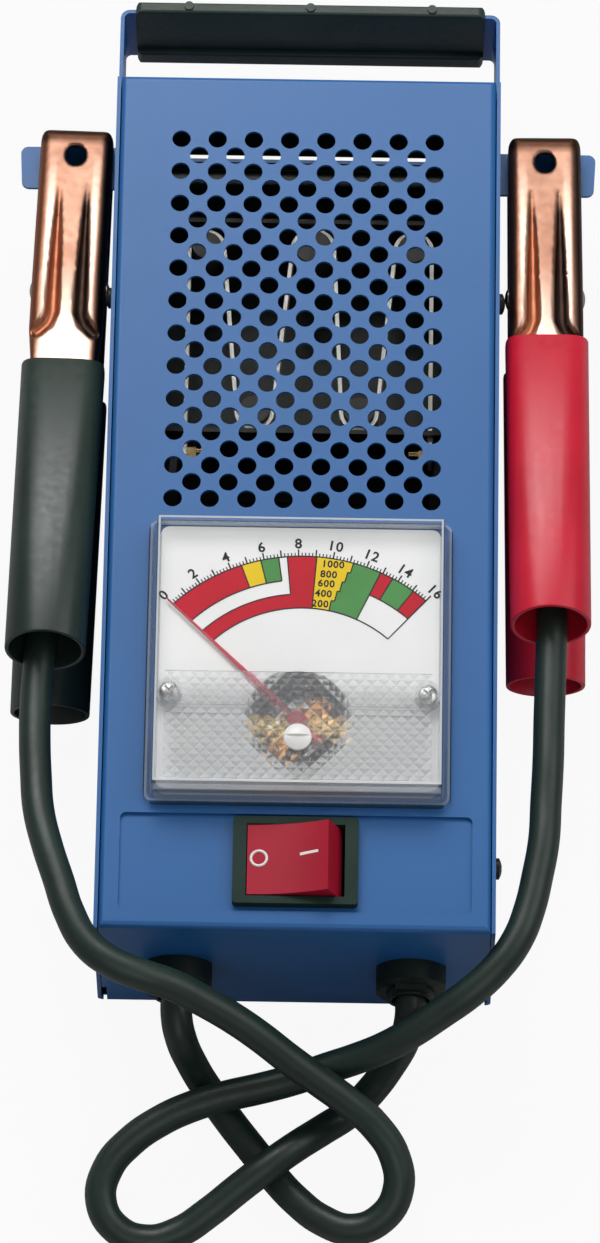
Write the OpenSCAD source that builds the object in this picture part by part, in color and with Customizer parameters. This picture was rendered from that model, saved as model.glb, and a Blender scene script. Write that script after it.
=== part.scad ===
// Hand-held battery load tester: a folded steel case with a strap handle, a
// perforated front over a load resistor, a moving-coil meter, a rocker switch
// and two heavy leads whose spring clamps are parked on ears of the case.
// Origin: centre of the back plate's outer face. +Y points to the handle,
// +Z out of the front panel.

/* [Case] */
// Width across the side walls
body_w = 100; // [92:1:112]
// Length from the bottom wall to the top wall
body_h = 237; // [232:1:260]
// Depth from the back plate to the front panel
body_d = 53; // [51:1:60]
// Thickness of the steel sheet
sheet = 1; // [0.8:0.1:1.2]
// Outside radius of the folded edges
fold_r = 1.5; // [1.3:0.1:3]
// Gap between the cover and the shell
case_gap = 0.2; // [0.1:0.05:0.4]
// Depth of the cover's side flanges
flange_d = 15; // [12:1:20]
// Shank diameter of the case screws
case_screw_d = 2.9; // [2.5:0.1:3.5]
// Distance of the upper case screws below the top wall
upper_screw_drop = 61; // [56:0.5:66]
// Distance of the lower case screw above the bottom wall
lower_screw_rise = 19.7; // [14:0.1:24]
// Height of the vent left open under the cover's top wall
vent_h = 4; // [3:0.5:5]

/* [Handle] */
// Clear height between the case and the handle strap
hand_gap = 24.7; // [22:0.1:35]
// Width of the handle strap
strap_w = 24; // [18:1:26]
// Height of the strap's rear edge above the back plate
strap_z = 16.4; // [14:0.1:22]
// Length of the grip
grip_l = 92; // [80:1:94]
// Wall over the strap in the grip
grip_wall = 1.2; // [1:0.1:2]
// Thickness of the grip's front bead
grip_bead = 2.3; // [2:0.1:5]
// Drop of the grip's rear lip below the strap
grip_lip = 1.8; // [1.5:0.1:5]

/* [Parking ears] */
// Width of an ear
ear_w = 12; // [10:1:14]
// Reach of an ear beyond the side wall
ear_l = 25.5; // [24:0.5:26]
// Distance of an ear's centre below the top wall
ear_drop = 17.1; // [14:0.1:24]
// Height of the ears' middle above the back plate
ear_z = 32; // [31.9:0.1:34]

/* [Grille] */
// Diameter of a grille hole
hole_d = 4.8; // [3.5:0.1:5.2]
// Spacing of the holes along a row
hole_pitch = 9.4; // [8:0.1:9.6]
// Spacing of the rows
row_pitch = 4.64; // [4.5:0.02:4.7]
// Number of rows
rows = 23; // [9:2:23]
// Number of holes in a long row
holes_per_row = 8; // [4:1:8]
// Distance of the first row below the top wall
grille_drop = 18.4; // [15:0.1:22]

/* [Meter] */
// Width and height of the meter's flange
meter_size = 77; // [74:1:84]
// Distance of the meter's centre below the case's centre
meter_drop = 47.4; // [46:0.1:50]
// Height of the meter's cover above the front panel
meter_rise = 10.4; // [9.5:0.1:13]
// Wall of the clear cover
lens_wall = 1; // [0.9:0.1:1.2]
// Height of the dial's upper face above the front panel
dial_rise = 5; // [4.5:0.1:5.5]
// Distance of the pointer's pivot above the meter's lower edge
pivot_inset = 20.8; // [20:0.1:23]
// Distance of the pointer's tip at rest from the meter's edge
pointer_inset = 3.6; // [3.4:0.1:8]
// Angle of the pointer at rest, from straight up
rest_angle = 46; // [40:1:46]
// Length of the dial from its upper edge
dial_l = 49.2; // [48:0.1:51]
// Diameter of the window over the movement
window_d = 25.2; // [24:0.2:27]
// Diameter of the meter's barrel
barrel_d = 43; // [42:0.5:44]
// Depth of the meter's barrel behind the front panel
barrel_depth = 28; // [26:1:32]
// Bore of the magnet ring
magnet_bore = 21; // [20.5:0.1:22]
// Diameter of the iron core
core_d = 14; // [12:0.5:14]
// Distance of the meter's screws from its side edges
meter_screw_inset = 6.1; // [5.8:0.1:8]
// Distance of the meter's screws below its centre
meter_screw_drop = 11.1; // [10:0.1:13]
// Diameter of the zero adjuster's head
adjuster_d = 7; // [6:0.5:8]
// Distance of the zero adjuster below the pivot
adjuster_drop = 6.4; // [6:0.1:9]

/* [Switch] */
// Width of the switch bezel
bezel_w = 31.3; // [30:0.1:34]
// Height of the switch bezel
bezel_h = 23.1; // [22.8:0.1:26]
// Width of the rocker
rocker_w = 23.9; // [22:0.1:24.5]
// Height of the rocker
rocker_h = 18.5; // [17:0.1:18.8]
// Half of the rocker's travel
rocker_tilt = 13; // [10:1:14]
// Depth of the switch body behind its bezel
switch_depth = 22; // [20:1:26]
// Distance of the switch's centre from the bottom wall
switch_y = 17.6; // [16:0.1:20]
// Depth of the pressed pocket round the switch
pocket_d = 1; // [0.5:0.1:1.5]
// Width of the pocket
pocket_w = 88; // [80:1:90]
// Length of the pocket
pocket_h = 25.8; // [25:0.2:27]

/* [Load resistor] */
// Width of the resistance ribbon
ribbon_w = 8; // [6:0.5:9]
// Thickness of the resistance ribbon
ribbon_t = 1; // [0.8:0.1:1.5]
// Height of the ribbon's brackets above the back plate
bracket_z = 30; // [29:0.5:34]
// Height of the ribbon's rear edge above the back plate
ribbon_z = 20; // [18:0.5:21]
// Distance of the lower ribbon turns above the case's centre
ribbon_y0 = 34; // [31:0.5:36]
// Distance between the upper and the lower turns
ribbon_span = 47; // [44:1:50]

/* [Leads] */
// Diameter of a lead
lead_d = 8; // [7:0.5:8.5]
// Distance of a gland from the centre line
gland_x = 29.4; // [27:0.1:31]
// Height of a gland's centre above the back plate
gland_z = 24; // [22:0.5:26]
// Width of a gland's flange across its flats
gland_w = 17.5; // [16:0.5:19]
// Diameter of the gland hole in the bottom wall
gland_hole_d = 14; // [13:0.5:15]
// Reach of a gland outside the bottom wall
gland_reach = 8; // [7:0.5:8]

/* [Clamps] */
// Outside width of a clamp's jaws
jaw_w = 19; // [18:0.5:19.5]
// Thickness of the clamp's sheet
jaw_t = 1.2; // [1:0.1:1.4]
// Distance from the pivot to the nose
nose_l = 44; // [42.5:0.5:46]
// Height of the jaw's back above its edge at the nose
nose_h = 8; // [7.5:0.5:9]
// Height of the jaw's back above its edge at the pivot
back_h = 13.5; // [13:0.5:14.5]
// Distance from the pivot to the end of the steel handle
handle_l = 90; // [84:1:91]
// Width at the end of the steel handle
handle_w = 13; // [12.5:0.5:14]
// Depth of the handle's channel
handle_d = 8; // [7.5:0.5:8.5]
// Diameter of the pivot pin
pin_d = 4; // [3.5:0.5:4.5]
// Radius of the lobes round the pivot
lobe_r = 5; // [4.5:0.5:5]
// Width of the hole in the nose
nose_hole_d = 5; // [4:0.1:6]
// Length of an insulating sleeve
sleeve_l = 83.5; // [80:0.5:86]
// Outside diameter at a sleeve's mouth
sleeve_d = 20.5; // [20:0.5:21]
// Wall of a sleeve
sleeve_wall = 1.1; // [0.9:0.1:1.3]
// Distance from the pivot to the left clamp's sleeves
sleeve_start_left = 27.5; // [25:0.5:28]
// Distance from the pivot to the right clamp's sleeves
sleeve_start_right = 18; // [17.5:0.5:20]
// Diameter of the clamp spring's wire
spring_wire = 1.6; // [1.2:0.1:1.8]

/* [Hidden] */

$fn = 48;
eps = 0.01;

// ---- Case
wall_z = body_d - sheet;              // front edge of the side walls
cover_w = body_w - 2*sheet - 2*case_gap;
half_h = body_h/2;
inner_w = cover_w - 2*sheet;
screw_z = body_d - flange_d/2;
screw_head_d = 5.4;
screw_head_h = 1.6;
screw_l = 7;
relief_w = 1.2;                       // corner notch of the end walls
lip_h = 5;                            // lip of the back plate at the top
relief_h = lip_h + vent_h;
window_margin = 0.5;                  // free cut round a lanced ear
ear_r = 2;
ear_taper = 0.6;                      // the outer edge leans in at its foot
ear_y = half_h - ear_drop;
strap_y = half_h + hand_gap + sheet;  // outer face of the strap's top
strap_fold_r = 2.5;

// ---- Grip
grip_gap = 0.1;
grip_pad = 0.8;                       // pad under the strap
grip_rear = 1;                        // wall behind the strap
pad_groove = 6.5;
groove_floor = 0.3;
lip_z = 4.7;                          // lip's front face ahead of the strap's rear
grip_r = 2;
bump_d = 2.4;
bump_pitch = 32;

// ---- Grille
grille_top = half_h - grille_drop;

// ---- Meter
meter_y = -meter_drop;
pivot_y = meter_y - meter_size/2 + pivot_inset;
meter_screw_x = meter_size/2 - meter_screw_inset;
pointer_l = (meter_size/2 - pointer_inset)/sin(rest_angle);
lens_top = body_d + meter_rise;
lens_draft = 2;
flange_h = 2;
lens_r = 3;
base_t = 2;
base_inset = 1.8;                     // from the cover's wall to the base
dial_inset = 3.2;                     // from the flange's edge to the dial
dial_t = 0.8;
dial_z = body_d + dial_rise - dial_t;
dial_w = meter_size - 2*dial_inset;
dial_top = meter_y + meter_size/2 - dial_inset;
window_y = pivot_y + 1.2;
barrel_wall = 1.8;
barrel_y = pivot_y + 3.5;
barrel_gap = 0.5;
magnet_t = 5.5;
magnet_h = 14;
magnet_z = body_d - 15;
core_h = magnet_h - 1;
shaft_d = 1.2;
coil_t = 1.3;
coil_w = 4;
coil_h = magnet_h + 3;
coil_r = core_d/2 + 0.7;
bridge_z = dial_z - base_t - 1.2;
bridge_w = 4;
bridge_t = 0.8;
post_d = 3;
pointer_z = body_d + dial_rise + 0.8;
pointer_t = 0.5;
hub_d = 4.5;
boss_d = 6.6;
screw_hole_d = 2.6;
counterbore_d = 5.2;
counterbore_depth = 3.2;
adjuster_y = pivot_y - adjuster_drop;
adjuster_shaft_d = 3.6;
running_gap = 0.05;
stud_d = 4;
stud_x = 14;

// ---- Switch
switch_cy = -half_h + switch_y;
pocket_cy = switch_cy;
pocket_floor = body_d - pocket_d;
bezel_t = 3;
bezel_top = pocket_floor + bezel_t;
switch_wall = 1.2;
rocker_gap = 0.35;
switch_in_w = rocker_w + 2*rocker_gap;
switch_in_h = rocker_h + 2*rocker_gap;
switch_out_w = switch_in_w + 2*switch_wall;
switch_out_h = switch_in_h + 2*switch_wall;
panel_gap = 0.2;
rocker_pin_d = 3;
rocker_z = bezel_top - 6.3;           // rocker's pivot
rocker_crest_inset = 1.6;
rocker_crest_z = 8.7;
rocker_dip = 1.2;                     // hollow between the crests
blade_w = 6.3;
blade_t = 0.8;
blade_l = 8;

// ---- Load resistor: x of each leg of the ribbon at its top and bottom
leg_top = [-30.7, -21.6, -3.7, 7.2, 23.2, 32.8];
leg_bottom = [-30.7, -17.5, -8.2, 9.7, 18.9, 32.8];
ribbon_y1 = ribbon_y0 + ribbon_span;
bracket_t = 1.2;
bracket_gap = 5;                      // from the cover's side walls
tab_l = 11;                           // tab under a spool
tab_w = 6;
tab_gap = 1.5;                        // from a tab to the ribbon
foot_w = 8;
turn_gap = 0.5;                       // from a turn to the bracket
post_gap = 0.3;
lug_l = 12.5;
terminal_d = 5;
terminal_y = ribbon_y0 - lug_l + terminal_d/2 + 0.2;

// ---- Clamps
ear_to_pivot = 35.9;
pivot_pos_y = ear_y - ear_to_pivot;
left_pivot = [-body_w/2 - 11.5, pivot_pos_y, ear_z];
right_pivot = [body_w/2 + 12.3, pivot_pos_y, ear_z];
left_lean = 1.34;                     // tail outward
right_lean = 0.65;
ear_half = sheet/2;
jaw_gap = 0.3;                        // moving jaw's gap to the ear
edge_z = ear_half;
jaw_r = 3;
jaw_tilt = atan((back_h - nose_h)/nose_l);
handle_y0 = 16;
handle_z0 = back_h + 0.5;
handle_tilt = 7.7;
arm_gap = 0.25;                       // between the arms' lobes
tooth_pitch = 3;
tooth_h = 1.4;
nose_r = 3;
nose_hole_l = 6.2;
nose_hole_inset = 8.5;
flute_r = 1.9;
flute_end_r = 0.5;
flute_x = 3.6;
flute_hook = 4.2;
flute_sides = 12;
flute_y0 = -14;
flute_y1 = 27;
sleeve_tilt = 7.5;
sleeve_z0 = 10.6;                     // sleeve's middle at the left start
sleeve_start_w = 21.5;
sleeve_start_h = 12.6;
lug_d = 9.6;
lug_y = -80;
lug_end_y = -87;
lead_drop = 15.5;                     // lead's height over the clamp's middle
head_d = 5.4;
head_h = 1;
spring_coil_d = 8.4;
spring_turns = 4;
spring_leg = 26;

// ---- Routes of the leads, from the clamp to the gland
left_route = [
    [-63.65, -22, 48.5], [-64.8, -34, 48.6], [-65.7, -46, 48.8],
    [-66.2, -57, 49], [-66.1, -67, 49.5], [-65.5, -77, 50], [-64.5, -87, 51],
    [-62, -97, 52], [-59, -106, 52.5], [-56, -115, 53], [-51.5, -123, 53],
    [-45, -128, 52.5], [-37.5, -130.5, 51], [-30, -132, 48],
    [-22.5, -134.5, 44], [-15, -137.5, 40], [-8, -141, 36],
    [-1, -145, 31.5], [6.5, -149, 27], [14, -153, 22.5], [21, -157.5, 17.5],
    [26, -164, 13], [27, -171.5, 9.5], [23, -178, 6.5], [15.5, -180.5, 4.5],
    [8, -178, 4], [1.5, -173, 4], [-4.5, -166.5, 4], [-10, -159.5, 4],
    [-15.5, -152.5, 4], [-20.5, -146, 6], [-25, -140.5, 12],
    [-28.5, -135, 20.5], [-29.4, -130.5, 23], [-29.4, -125.2, 24]];
right_route = [
    [63.7, -22, 48.5], [63.8, -34, 48.5], [63.5, -48, 48.5],
    [63.2, -60, 48.5], [63, -71, 48.5], [62.5, -82, 48], [62, -92, 48],
    [60.5, -101, 47.5], [58.5, -110, 47], [55.5, -118, 46.5],
    [50.5, -125, 45], [44, -130.5, 42], [37, -134.5, 38], [30, -138, 33.5],
    [23, -140.5, 28.5], [16, -142, 24], [8.5, -143.5, 20.5],
    [0.5, -145.5, 17.5], [-8, -147.5, 16], [-16.5, -149.5, 15.5],
    [-25, -152, 14.5], [-33, -155.5, 13], [-40.5, -160.5, 11],
    [-46, -167, 9], [-47.5, -175, 7], [-43.5, -181.5, 5], [-36, -184, 4],
    [-28, -182, 4.5], [-20.5, -177.5, 7], [-13, -172, 10],
    [-6, -167, 12.4], [1, -161.5, 12], [8, -155.5, 8.5], [14.5, -150, 6],
    [20, -144.5, 7.5], [24.5, -139.5, 12], [28, -135, 18.5],
    [29.4, -130.5, 22.8], [29.4, -125.2, 24]];
lead_sides = 10;
wire_d = 5;
thin_wire_d = 2;
wire_sides = 8;

// ---- Shared shapes

// A shape drawn in X and Z, extruded along Y from y0 to y1
module along_y(y0, y1) {
    translate([0, y1, 0]) rotate([90, 0, 0]) linear_extrude(y1 - y0) children();
}

// A shape drawn in Y and Z, extruded along X from x0 to x1
module along_x(x0, x1) {
    translate([x0, 0, 0]) rotate([90, 0, 90]) linear_extrude(x1 - x0) children();
}

// A rectangle from p to q with round corners
module rounded(p, q, r) {
    translate([p.x + r, p.y]) square([q.x - p.x - 2*r, q.y - p.y]);
    translate([p.x, p.y + r]) square([q.x - p.x, q.y - p.y - 2*r]);
    for (x = [p.x + r, q.x - r], y = [p.y + r, q.y - r])
        translate([x, y]) circle(r);
}

// A centred rectangle with round corners
module rounded_box(w, h, r) {
    rounded([-w/2, -h/2], [w/2, h/2], r);
}

// A ring of points of radius r at p, square to the direction t
function ring(p, t, r, sides, up) =
    let (n = cross(t, up), a = n/norm(n), b = cross(a, t))
    [for (i = [0 : sides - 1])
        p + r*(cos(360*i/sides)*a + sin(360*i/sides)*b)];

function unit(v) = v/norm(v);

// The route's direction at point i
function heading(path, i) =
    unit(path[min(i + 1, len(path) - 1)] - path[max(i - 1, 0)]);

// A round tube along a path, of diameter d or of one diameter for each point
module tube(path, d, sides, up = [0, 0, 1]) {
    n = len(path);
    rings = [for (i = [0 : n - 1])
        ring(path[i], heading(path, i), (is_list(d) ? d[i] : d)/2, sides, up)];
    points = [for (r = rings) for (p = r) p];
    walls = [for (i = [0 : n - 2], j = [0 : sides - 1])
        [i*sides + j, i*sides + (j + 1)%sides,
         (i + 1)*sides + (j + 1)%sides, (i + 1)*sides + j]];
    ends = [[for (j = [sides - 1 : -1 : 0]) j],
            [for (j = [0 : sides - 1]) (n - 1)*sides + j]];
    polyhedron(points, concat(walls, ends), convexity = 8);
}

// ---- Case

module case_screw_places() {
    upper_y = half_h - upper_screw_drop;
    lower_y = -half_h + lower_screw_rise;
    for (place = [[-1, upper_y], [1, upper_y], [1, lower_y]])
        translate([place.x*body_w/2, place.y, screw_z])
            rotate([0, place.x*90, 0]) children();
}

// The cover's outer or inner skin, inset by a sheet thickness
module cover_skin(inset) {
    r = fold_r - inset;
    w = cover_w/2 - inset;
    intersection() {
        along_y(-half_h + inset, half_h - inset)
            rounded([-w, -fold_r*2], [w, body_d - inset], r);
        along_x(-body_w, body_w)
            rounded([-half_h + inset, -fold_r*2], [half_h - inset, body_d - inset], r);
        translate([-body_w, -body_h, inset > 0 ? -fold_r : 0])
            cube([2*body_w, 2*body_h, 2*body_d]);
    }
}

module grille_holes() {
    for (row = [0 : rows - 1]) {
        count = row%2 == 0 ? holes_per_row : holes_per_row - 1;
        for (i = [0 : count - 1])
            translate([(i - (count - 1)/2)*hole_pitch, grille_top - row*row_pitch,
                       body_d - 2*sheet])
                cylinder(d = hole_d, h = 3*sheet, $fn = 24);
    }
}

module front_cover() color([0.25, 0.47, 0.72]) {
    difference() {
        union() {
            difference() {
                cover_skin(0);
                cover_skin(sheet);
                // the side flanges stop short of the back
                for (side = [-1, 1])
                    translate([side*cover_w/2 - sheet - case_gap, -half_h + sheet + case_gap,
                               -eps])
                        cube([2*(sheet + case_gap), body_h - 2*(sheet + case_gap),
                              body_d - flange_d]);
            }
            // sheet pressed back round the switch
            translate([0, pocket_cy, body_d - sheet - pocket_d])
                linear_extrude(sheet + pocket_d - eps)
                    rounded_box(pocket_w + 2*sheet, pocket_h + 2*sheet, fold_r + sheet);
        }
        translate([0, pocket_cy, pocket_floor])
            linear_extrude(2*pocket_d) rounded_box(pocket_w, pocket_h, fold_r);
        translate([-switch_out_w/2 - panel_gap, switch_cy - switch_out_h/2 - panel_gap,
                   body_d - 4*sheet])
            cube([switch_out_w + 2*panel_gap, switch_out_h + 2*panel_gap, 5*sheet]);
        translate([0, barrel_y, body_d - 2*sheet])
            cylinder(d = barrel_d + 2*barrel_gap, h = 3*sheet, $fn = 96);
        for (side = [-1, 1])
            translate([side*meter_screw_x, meter_y - meter_screw_drop, body_d - 2*sheet])
                cylinder(d = screw_hole_d, h = 3*sheet);
        grille_holes();
        for (side = [-1, 1])
            translate([side*gland_x, -half_h - sheet, gland_z]) rotate([-90, 0, 0])
                cylinder(d = gland_hole_d, h = 3*sheet);
        case_screw_places()
            translate([0, 0, -4*sheet]) cylinder(d = case_screw_d, h = 4*sheet, $fn = 24);
        // notched rear corners of the bottom wall
        for (side = [-1, 1])
            translate([side*(cover_w/2 - relief_w/2) - relief_w/2, -half_h - 2*sheet, -eps])
                cube([relief_w, 4*sheet, relief_h]);
        // vent under the top wall
        translate([-cover_w, half_h - 2*sheet, -eps]) cube([2*cover_w, 4*sheet, relief_h]);
    }
}

// Shape of one lanced ear, seen from the front
module ear_outline() {
    root = 3*ear_r;
    intersection() {
        offset(ear_r) offset(delta = -ear_r)
            polygon([[-root, -ear_w/2], [ear_l - ear_taper, -ear_w/2],
                     [ear_l, ear_w/2], [-root, ear_w/2]]);
        translate([-sheet/2, -ear_w]) square([2*ear_l, 2*ear_w]);
    }
}

module rear_shell() color([0.22, 0.43, 0.68]) {
    lip_w = body_w - 2*fold_r - 2*relief_w;
    difference() {
        union() {
            // back plate and side walls, folded from one sheet
            difference() {
                along_y(-half_h, half_h)
                    rounded([-body_w/2, 0], [body_w/2, body_d*2], fold_r);
                along_y(-half_h - sheet, half_h + sheet)
                    rounded([-body_w/2 + sheet, sheet], [body_w/2 - sheet, body_d*2],
                            fold_r - sheet + eps);
                translate([-body_w, -body_h, wall_z])
                    cube([2*body_w, 2*body_h, 2*body_d]);
                // the plate ends inside the cover's bottom wall and at its own top lip
                translate([-body_w/2 + fold_r, -half_h - 2*sheet, -sheet])
                    cube([body_w - 2*fold_r, 3*sheet + case_gap, 3*sheet]);
                translate([-body_w/2 + fold_r, half_h - 2*fold_r, -sheet])
                    cube([body_w - 2*fold_r, 3*fold_r, 3*sheet]);
            }
            along_x(-lip_w/2, lip_w/2) difference() {
                rounded([half_h - 3*fold_r, 0], [half_h, 3*lip_h], fold_r);
                rounded([half_h - 6*fold_r, sheet], [half_h - sheet, 4*lip_h],
                        fold_r - sheet + eps);
                translate([half_h - 7*fold_r, lip_h]) square([8*fold_r, 4*lip_h]);
            }
            // handle strap
            translate([0, 0, strap_z]) linear_extrude(strap_w) difference() {
                rounded([-body_w/2, half_h - 3*fold_r], [body_w/2, strap_y], strap_fold_r);
                rounded([-body_w/2 + sheet, half_h - 6*fold_r],
                        [body_w/2 - sheet, strap_y - sheet], strap_fold_r - sheet);
                translate([-body_w, half_h - 6*fold_r]) square([2*body_w, 4*fold_r]);
            }
            // parking ears
            for (side = [0, 1]) mirror([side, 0, 0])
                translate([body_w/2, ear_y, ear_z - ear_half])
                    linear_extrude(sheet) ear_outline();
        }
        // windows that the ears are bent out of
        for (side = [-1, 1])
            translate([side*body_w/2 - 1.5*sheet, ear_y - ear_w/2 - window_margin,
                       ear_z - ear_half - ear_l])
                cube([3*sheet, ear_w + 2*window_margin, ear_l]);
        case_screw_places()
            translate([0, 0, -2*sheet])
                cylinder(d = case_screw_d + 0.4, h = 4*sheet, $fn = 24);
    }
}

module case_screws() color([0.08, 0.08, 0.08]) {
    case_screw_places() {
        difference() {
            intersection() {
                cylinder(d = screw_head_d, h = screw_head_h);
                translate([0, 0, screw_head_h - screw_head_d]) sphere(d = 2*screw_head_d);
            }
            for (a = [0, 90]) rotate(a)
                translate([-1.5, -0.35, screw_head_h - 1]) cube([3, 0.7, 2]);
        }
        translate([0, 0, -screw_l])
            cylinder(d = case_screw_d - 0.2, h = screw_l, $fn = 24);
    }
}

module handle_grip() color([0.1, 0.14, 0.12]) {
    under = strap_y - sheet - grip_gap;         // underside of the strap
    over = strap_y + grip_gap;
    front = strap_z + strap_w + grip_gap;
    rear = strap_z - grip_gap;
    difference() {
        intersection() {
            along_x(-grip_l/2, grip_l/2) difference() {
                union() {
                    rounded([under - grip_pad, rear - grip_rear],
                            [over + grip_wall, front + grip_bead], grip_pad);
                    rounded([under - grip_lip, rear - grip_rear],
                            [over, strap_z + lip_z], grip_pad);
                }
                translate([under, rear]) square([over - under, front - rear]);
                translate([under - 2*grip_pad, strap_z + lip_z])
                    square([2*grip_pad - groove_floor, pad_groove]);
            }
            // rounded ends
            translate([0, 0, rear - 2*grip_rear])
                linear_extrude(2*strap_w)
                    rounded([-grip_l/2, under - grip_lip], [grip_l/2, over + grip_wall],
                            grip_r - sheet/2);
            translate([0, over + 2*grip_wall, 0]) rotate([90, 0, 0])
                linear_extrude(over - under + 3*grip_wall + 2*grip_lip)
                    rounded([-grip_l/2, rear - grip_rear],
                            [grip_l/2, front + grip_bead], grip_r);
        }
    }
    for (i = [-1 : 1])
        translate([i*bump_pitch, over + grip_wall - bump_d/2, front + grip_bead - 0.4])
            cylinder(d = bump_d, h = 0.9, $fn = 24);
}

// ---- Meter

// A drafted block: flat outline w by w at z0, narrower by the draft at z1
module drafted(w, z0, z1, draft) {
    top = w/2 - draft;
    intersection() {
        along_y(-w, w) polygon([[-w/2, z0], [w/2, z0], [top, z1], [-top, z1]]);
        along_x(-w, w) polygon([[-w/2, z0], [w/2, z0], [top, z1], [-top, z1]]);
        translate([0, 0, z0 - eps]) linear_extrude(z1 - z0 + 2*eps)
            rounded_box(w, w, lens_r);
    }
}

module meter_screw_places() {
    for (side = [-1, 1])
        translate([side*meter_screw_x, meter_y - meter_screw_drop, 0]) children();
}

module meter_cover() color([0.85, 0.92, 0.95, 0.35]) {
    seat_z = lens_top - counterbore_depth;
    body = meter_size - 1;
    difference() {
        union() {
            difference() {
                translate([0, meter_y, 0]) {
                    drafted(body, body_d, lens_top, lens_draft);
                    translate([0, 0, body_d]) linear_extrude(flange_h)
                        rounded_box(meter_size, meter_size, lens_r);
                }
                translate([0, meter_y, 0])
                    drafted(body - 2*lens_wall, body_d - sheet, lens_top - lens_wall,
                            lens_draft);
            }
            // bosses for the two screws
            meter_screw_places()
                translate([0, 0, dial_z + dial_t + 0.1])
                    cylinder(d = boss_d, h = lens_top - dial_z - dial_t - 0.1 - eps);
        }
        meter_screw_places() {
            translate([0, 0, seat_z]) cylinder(d = counterbore_d, h = meter_rise);
            translate([0, 0, body_d]) cylinder(d = screw_hole_d + 0.4, h = meter_rise);
        }
        translate([0, adjuster_y, body_d])
            cylinder(d = adjuster_shaft_d + 2*running_gap, h = 2*meter_rise);
    }
}

module meter_base() color([0.9, 0.9, 0.88]) {
    w = meter_size - 2*base_inset - 2*lens_wall;
    deck_z = dial_z - base_t;
    floor_z = body_d - barrel_depth;
    difference() {
        union() {
            // deck that the dial lies on, and its rim down to the panel
            translate([0, meter_y, body_d]) linear_extrude(dial_z - body_d)
                difference() {
                    rounded_box(w, w, lens_r);
                    rounded_box(w - 2*base_t, w - 2*base_t, lens_r - 1);
                }
            translate([0, meter_y, deck_z]) linear_extrude(base_t)
                rounded_box(w - eps, w - eps, lens_r);
            translate([0, barrel_y, floor_z])
                cylinder(d = barrel_d, h = deck_z - floor_z + eps, $fn = 96);
            meter_screw_places()
                translate([0, 0, body_d]) cylinder(d = boss_d, h = dial_z - body_d);
        }
        translate([0, barrel_y, floor_z + barrel_wall])
            cylinder(d = barrel_d - 2*barrel_wall, h = deck_z - floor_z - barrel_wall,
                     $fn = 96);
        translate([0, window_y, body_d]) cylinder(d = window_d, h = meter_rise, $fn = 64);
        meter_screw_places()
            translate([0, 0, body_d - sheet]) cylinder(d = screw_hole_d - 0.1, h = meter_rise);
        for (side = [-1, 1])
            translate([side*stud_x, barrel_y, floor_z - sheet])
                cylinder(d = stud_d + 0.1, h = 3*barrel_wall);
    }
}

module meter_screws() color([0.75, 0.75, 0.72]) {
    seat_z = lens_top - counterbore_depth;
    meter_screw_places() difference() {
        union() {
            translate([0, 0, seat_z]) intersection() {
                cylinder(d = 4.8, h = 2);
                translate([0, 0, 2 - 4.8]) sphere(d = 9.6);
            }
            translate([0, 0, body_d - 3]) cylinder(d = screw_hole_d - 0.2, h = seat_z - body_d + 3);
        }
        for (a = [45, 135]) rotate(a)
            translate([-1.4, -0.3, seat_z + 1]) cube([2.8, 0.6, 2]);
    }
}

module dial_plate() color([0.96, 0.96, 0.94]) {
    difference() {
        translate([0, 0, dial_z]) linear_extrude(dial_t)
            rounded([-dial_w/2, dial_top - dial_l], [dial_w/2, dial_top], lens_r - 1);
        translate([0, window_y, dial_z - eps]) cylinder(d = window_d, h = 2*dial_t, $fn = 64);
        meter_screw_places()
            translate([0, 0, dial_z - eps]) cylinder(d = screw_hole_d + 0.2, h = 2*dial_t);
    }
}

module magnet_ring() color([0.35, 0.36, 0.38]) {
    translate([0, pivot_y, magnet_z]) difference() {
        cylinder(d = magnet_bore + 2*magnet_t, h = magnet_h, $fn = 64);
        translate([0, 0, -eps]) cylinder(d = magnet_bore, h = magnet_h + 2*eps, $fn = 64);
    }
    // seat on the barrel's floor
    translate([0, pivot_y, body_d - barrel_depth + barrel_wall]) difference() {
        cylinder(d = magnet_bore + magnet_t, $fn = 64,
                 h = magnet_z - body_d + barrel_depth - barrel_wall);
        translate([0, 0, -eps]) cylinder(d = magnet_bore, h = barrel_depth, $fn = 64);
    }
}

// The coil sweeps about 92 degrees, so the core is held at the side it never meets
module meter_core() color([0.6, 0.6, 0.62]) {
    web = 2.4;
    translate([0, pivot_y, magnet_z + 0.5]) difference() {
        union() {
            cylinder(d = core_d, h = core_h);
            rotate(90) translate([0.1 - magnet_bore/2, -web/2, 3])
                cube([magnet_bore - 0.2, web, core_h - 6]);
        }
        translate([0, 0, -eps]) cylinder(d = shaft_d + 1.4, h = magnet_h, $fn = 24);
    }
}

module meter_bridge() color([0.78, 0.62, 0.3]) {
    reach = magnet_bore/2 + magnet_t/2;
    base = magnet_z + magnet_h;
    difference() {
        union() {
            translate([0, pivot_y, bridge_z]) linear_extrude(bridge_t) {
                square([2*reach, bridge_w], center = true);
                circle(d = 2*bridge_w);
                for (side = [-1, 1]) translate([side*reach, 0]) circle(d = bridge_w);
            }
            for (side = [-1, 1])
                translate([side*reach, pivot_y, base])
                    cylinder(d = post_d, h = bridge_z - base + eps, $fn = 24);
        }
        translate([0, pivot_y, bridge_z - sheet])
            cylinder(d = shaft_d + 0.2, h = 4*bridge_t, $fn = 24);
    }
}

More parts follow.
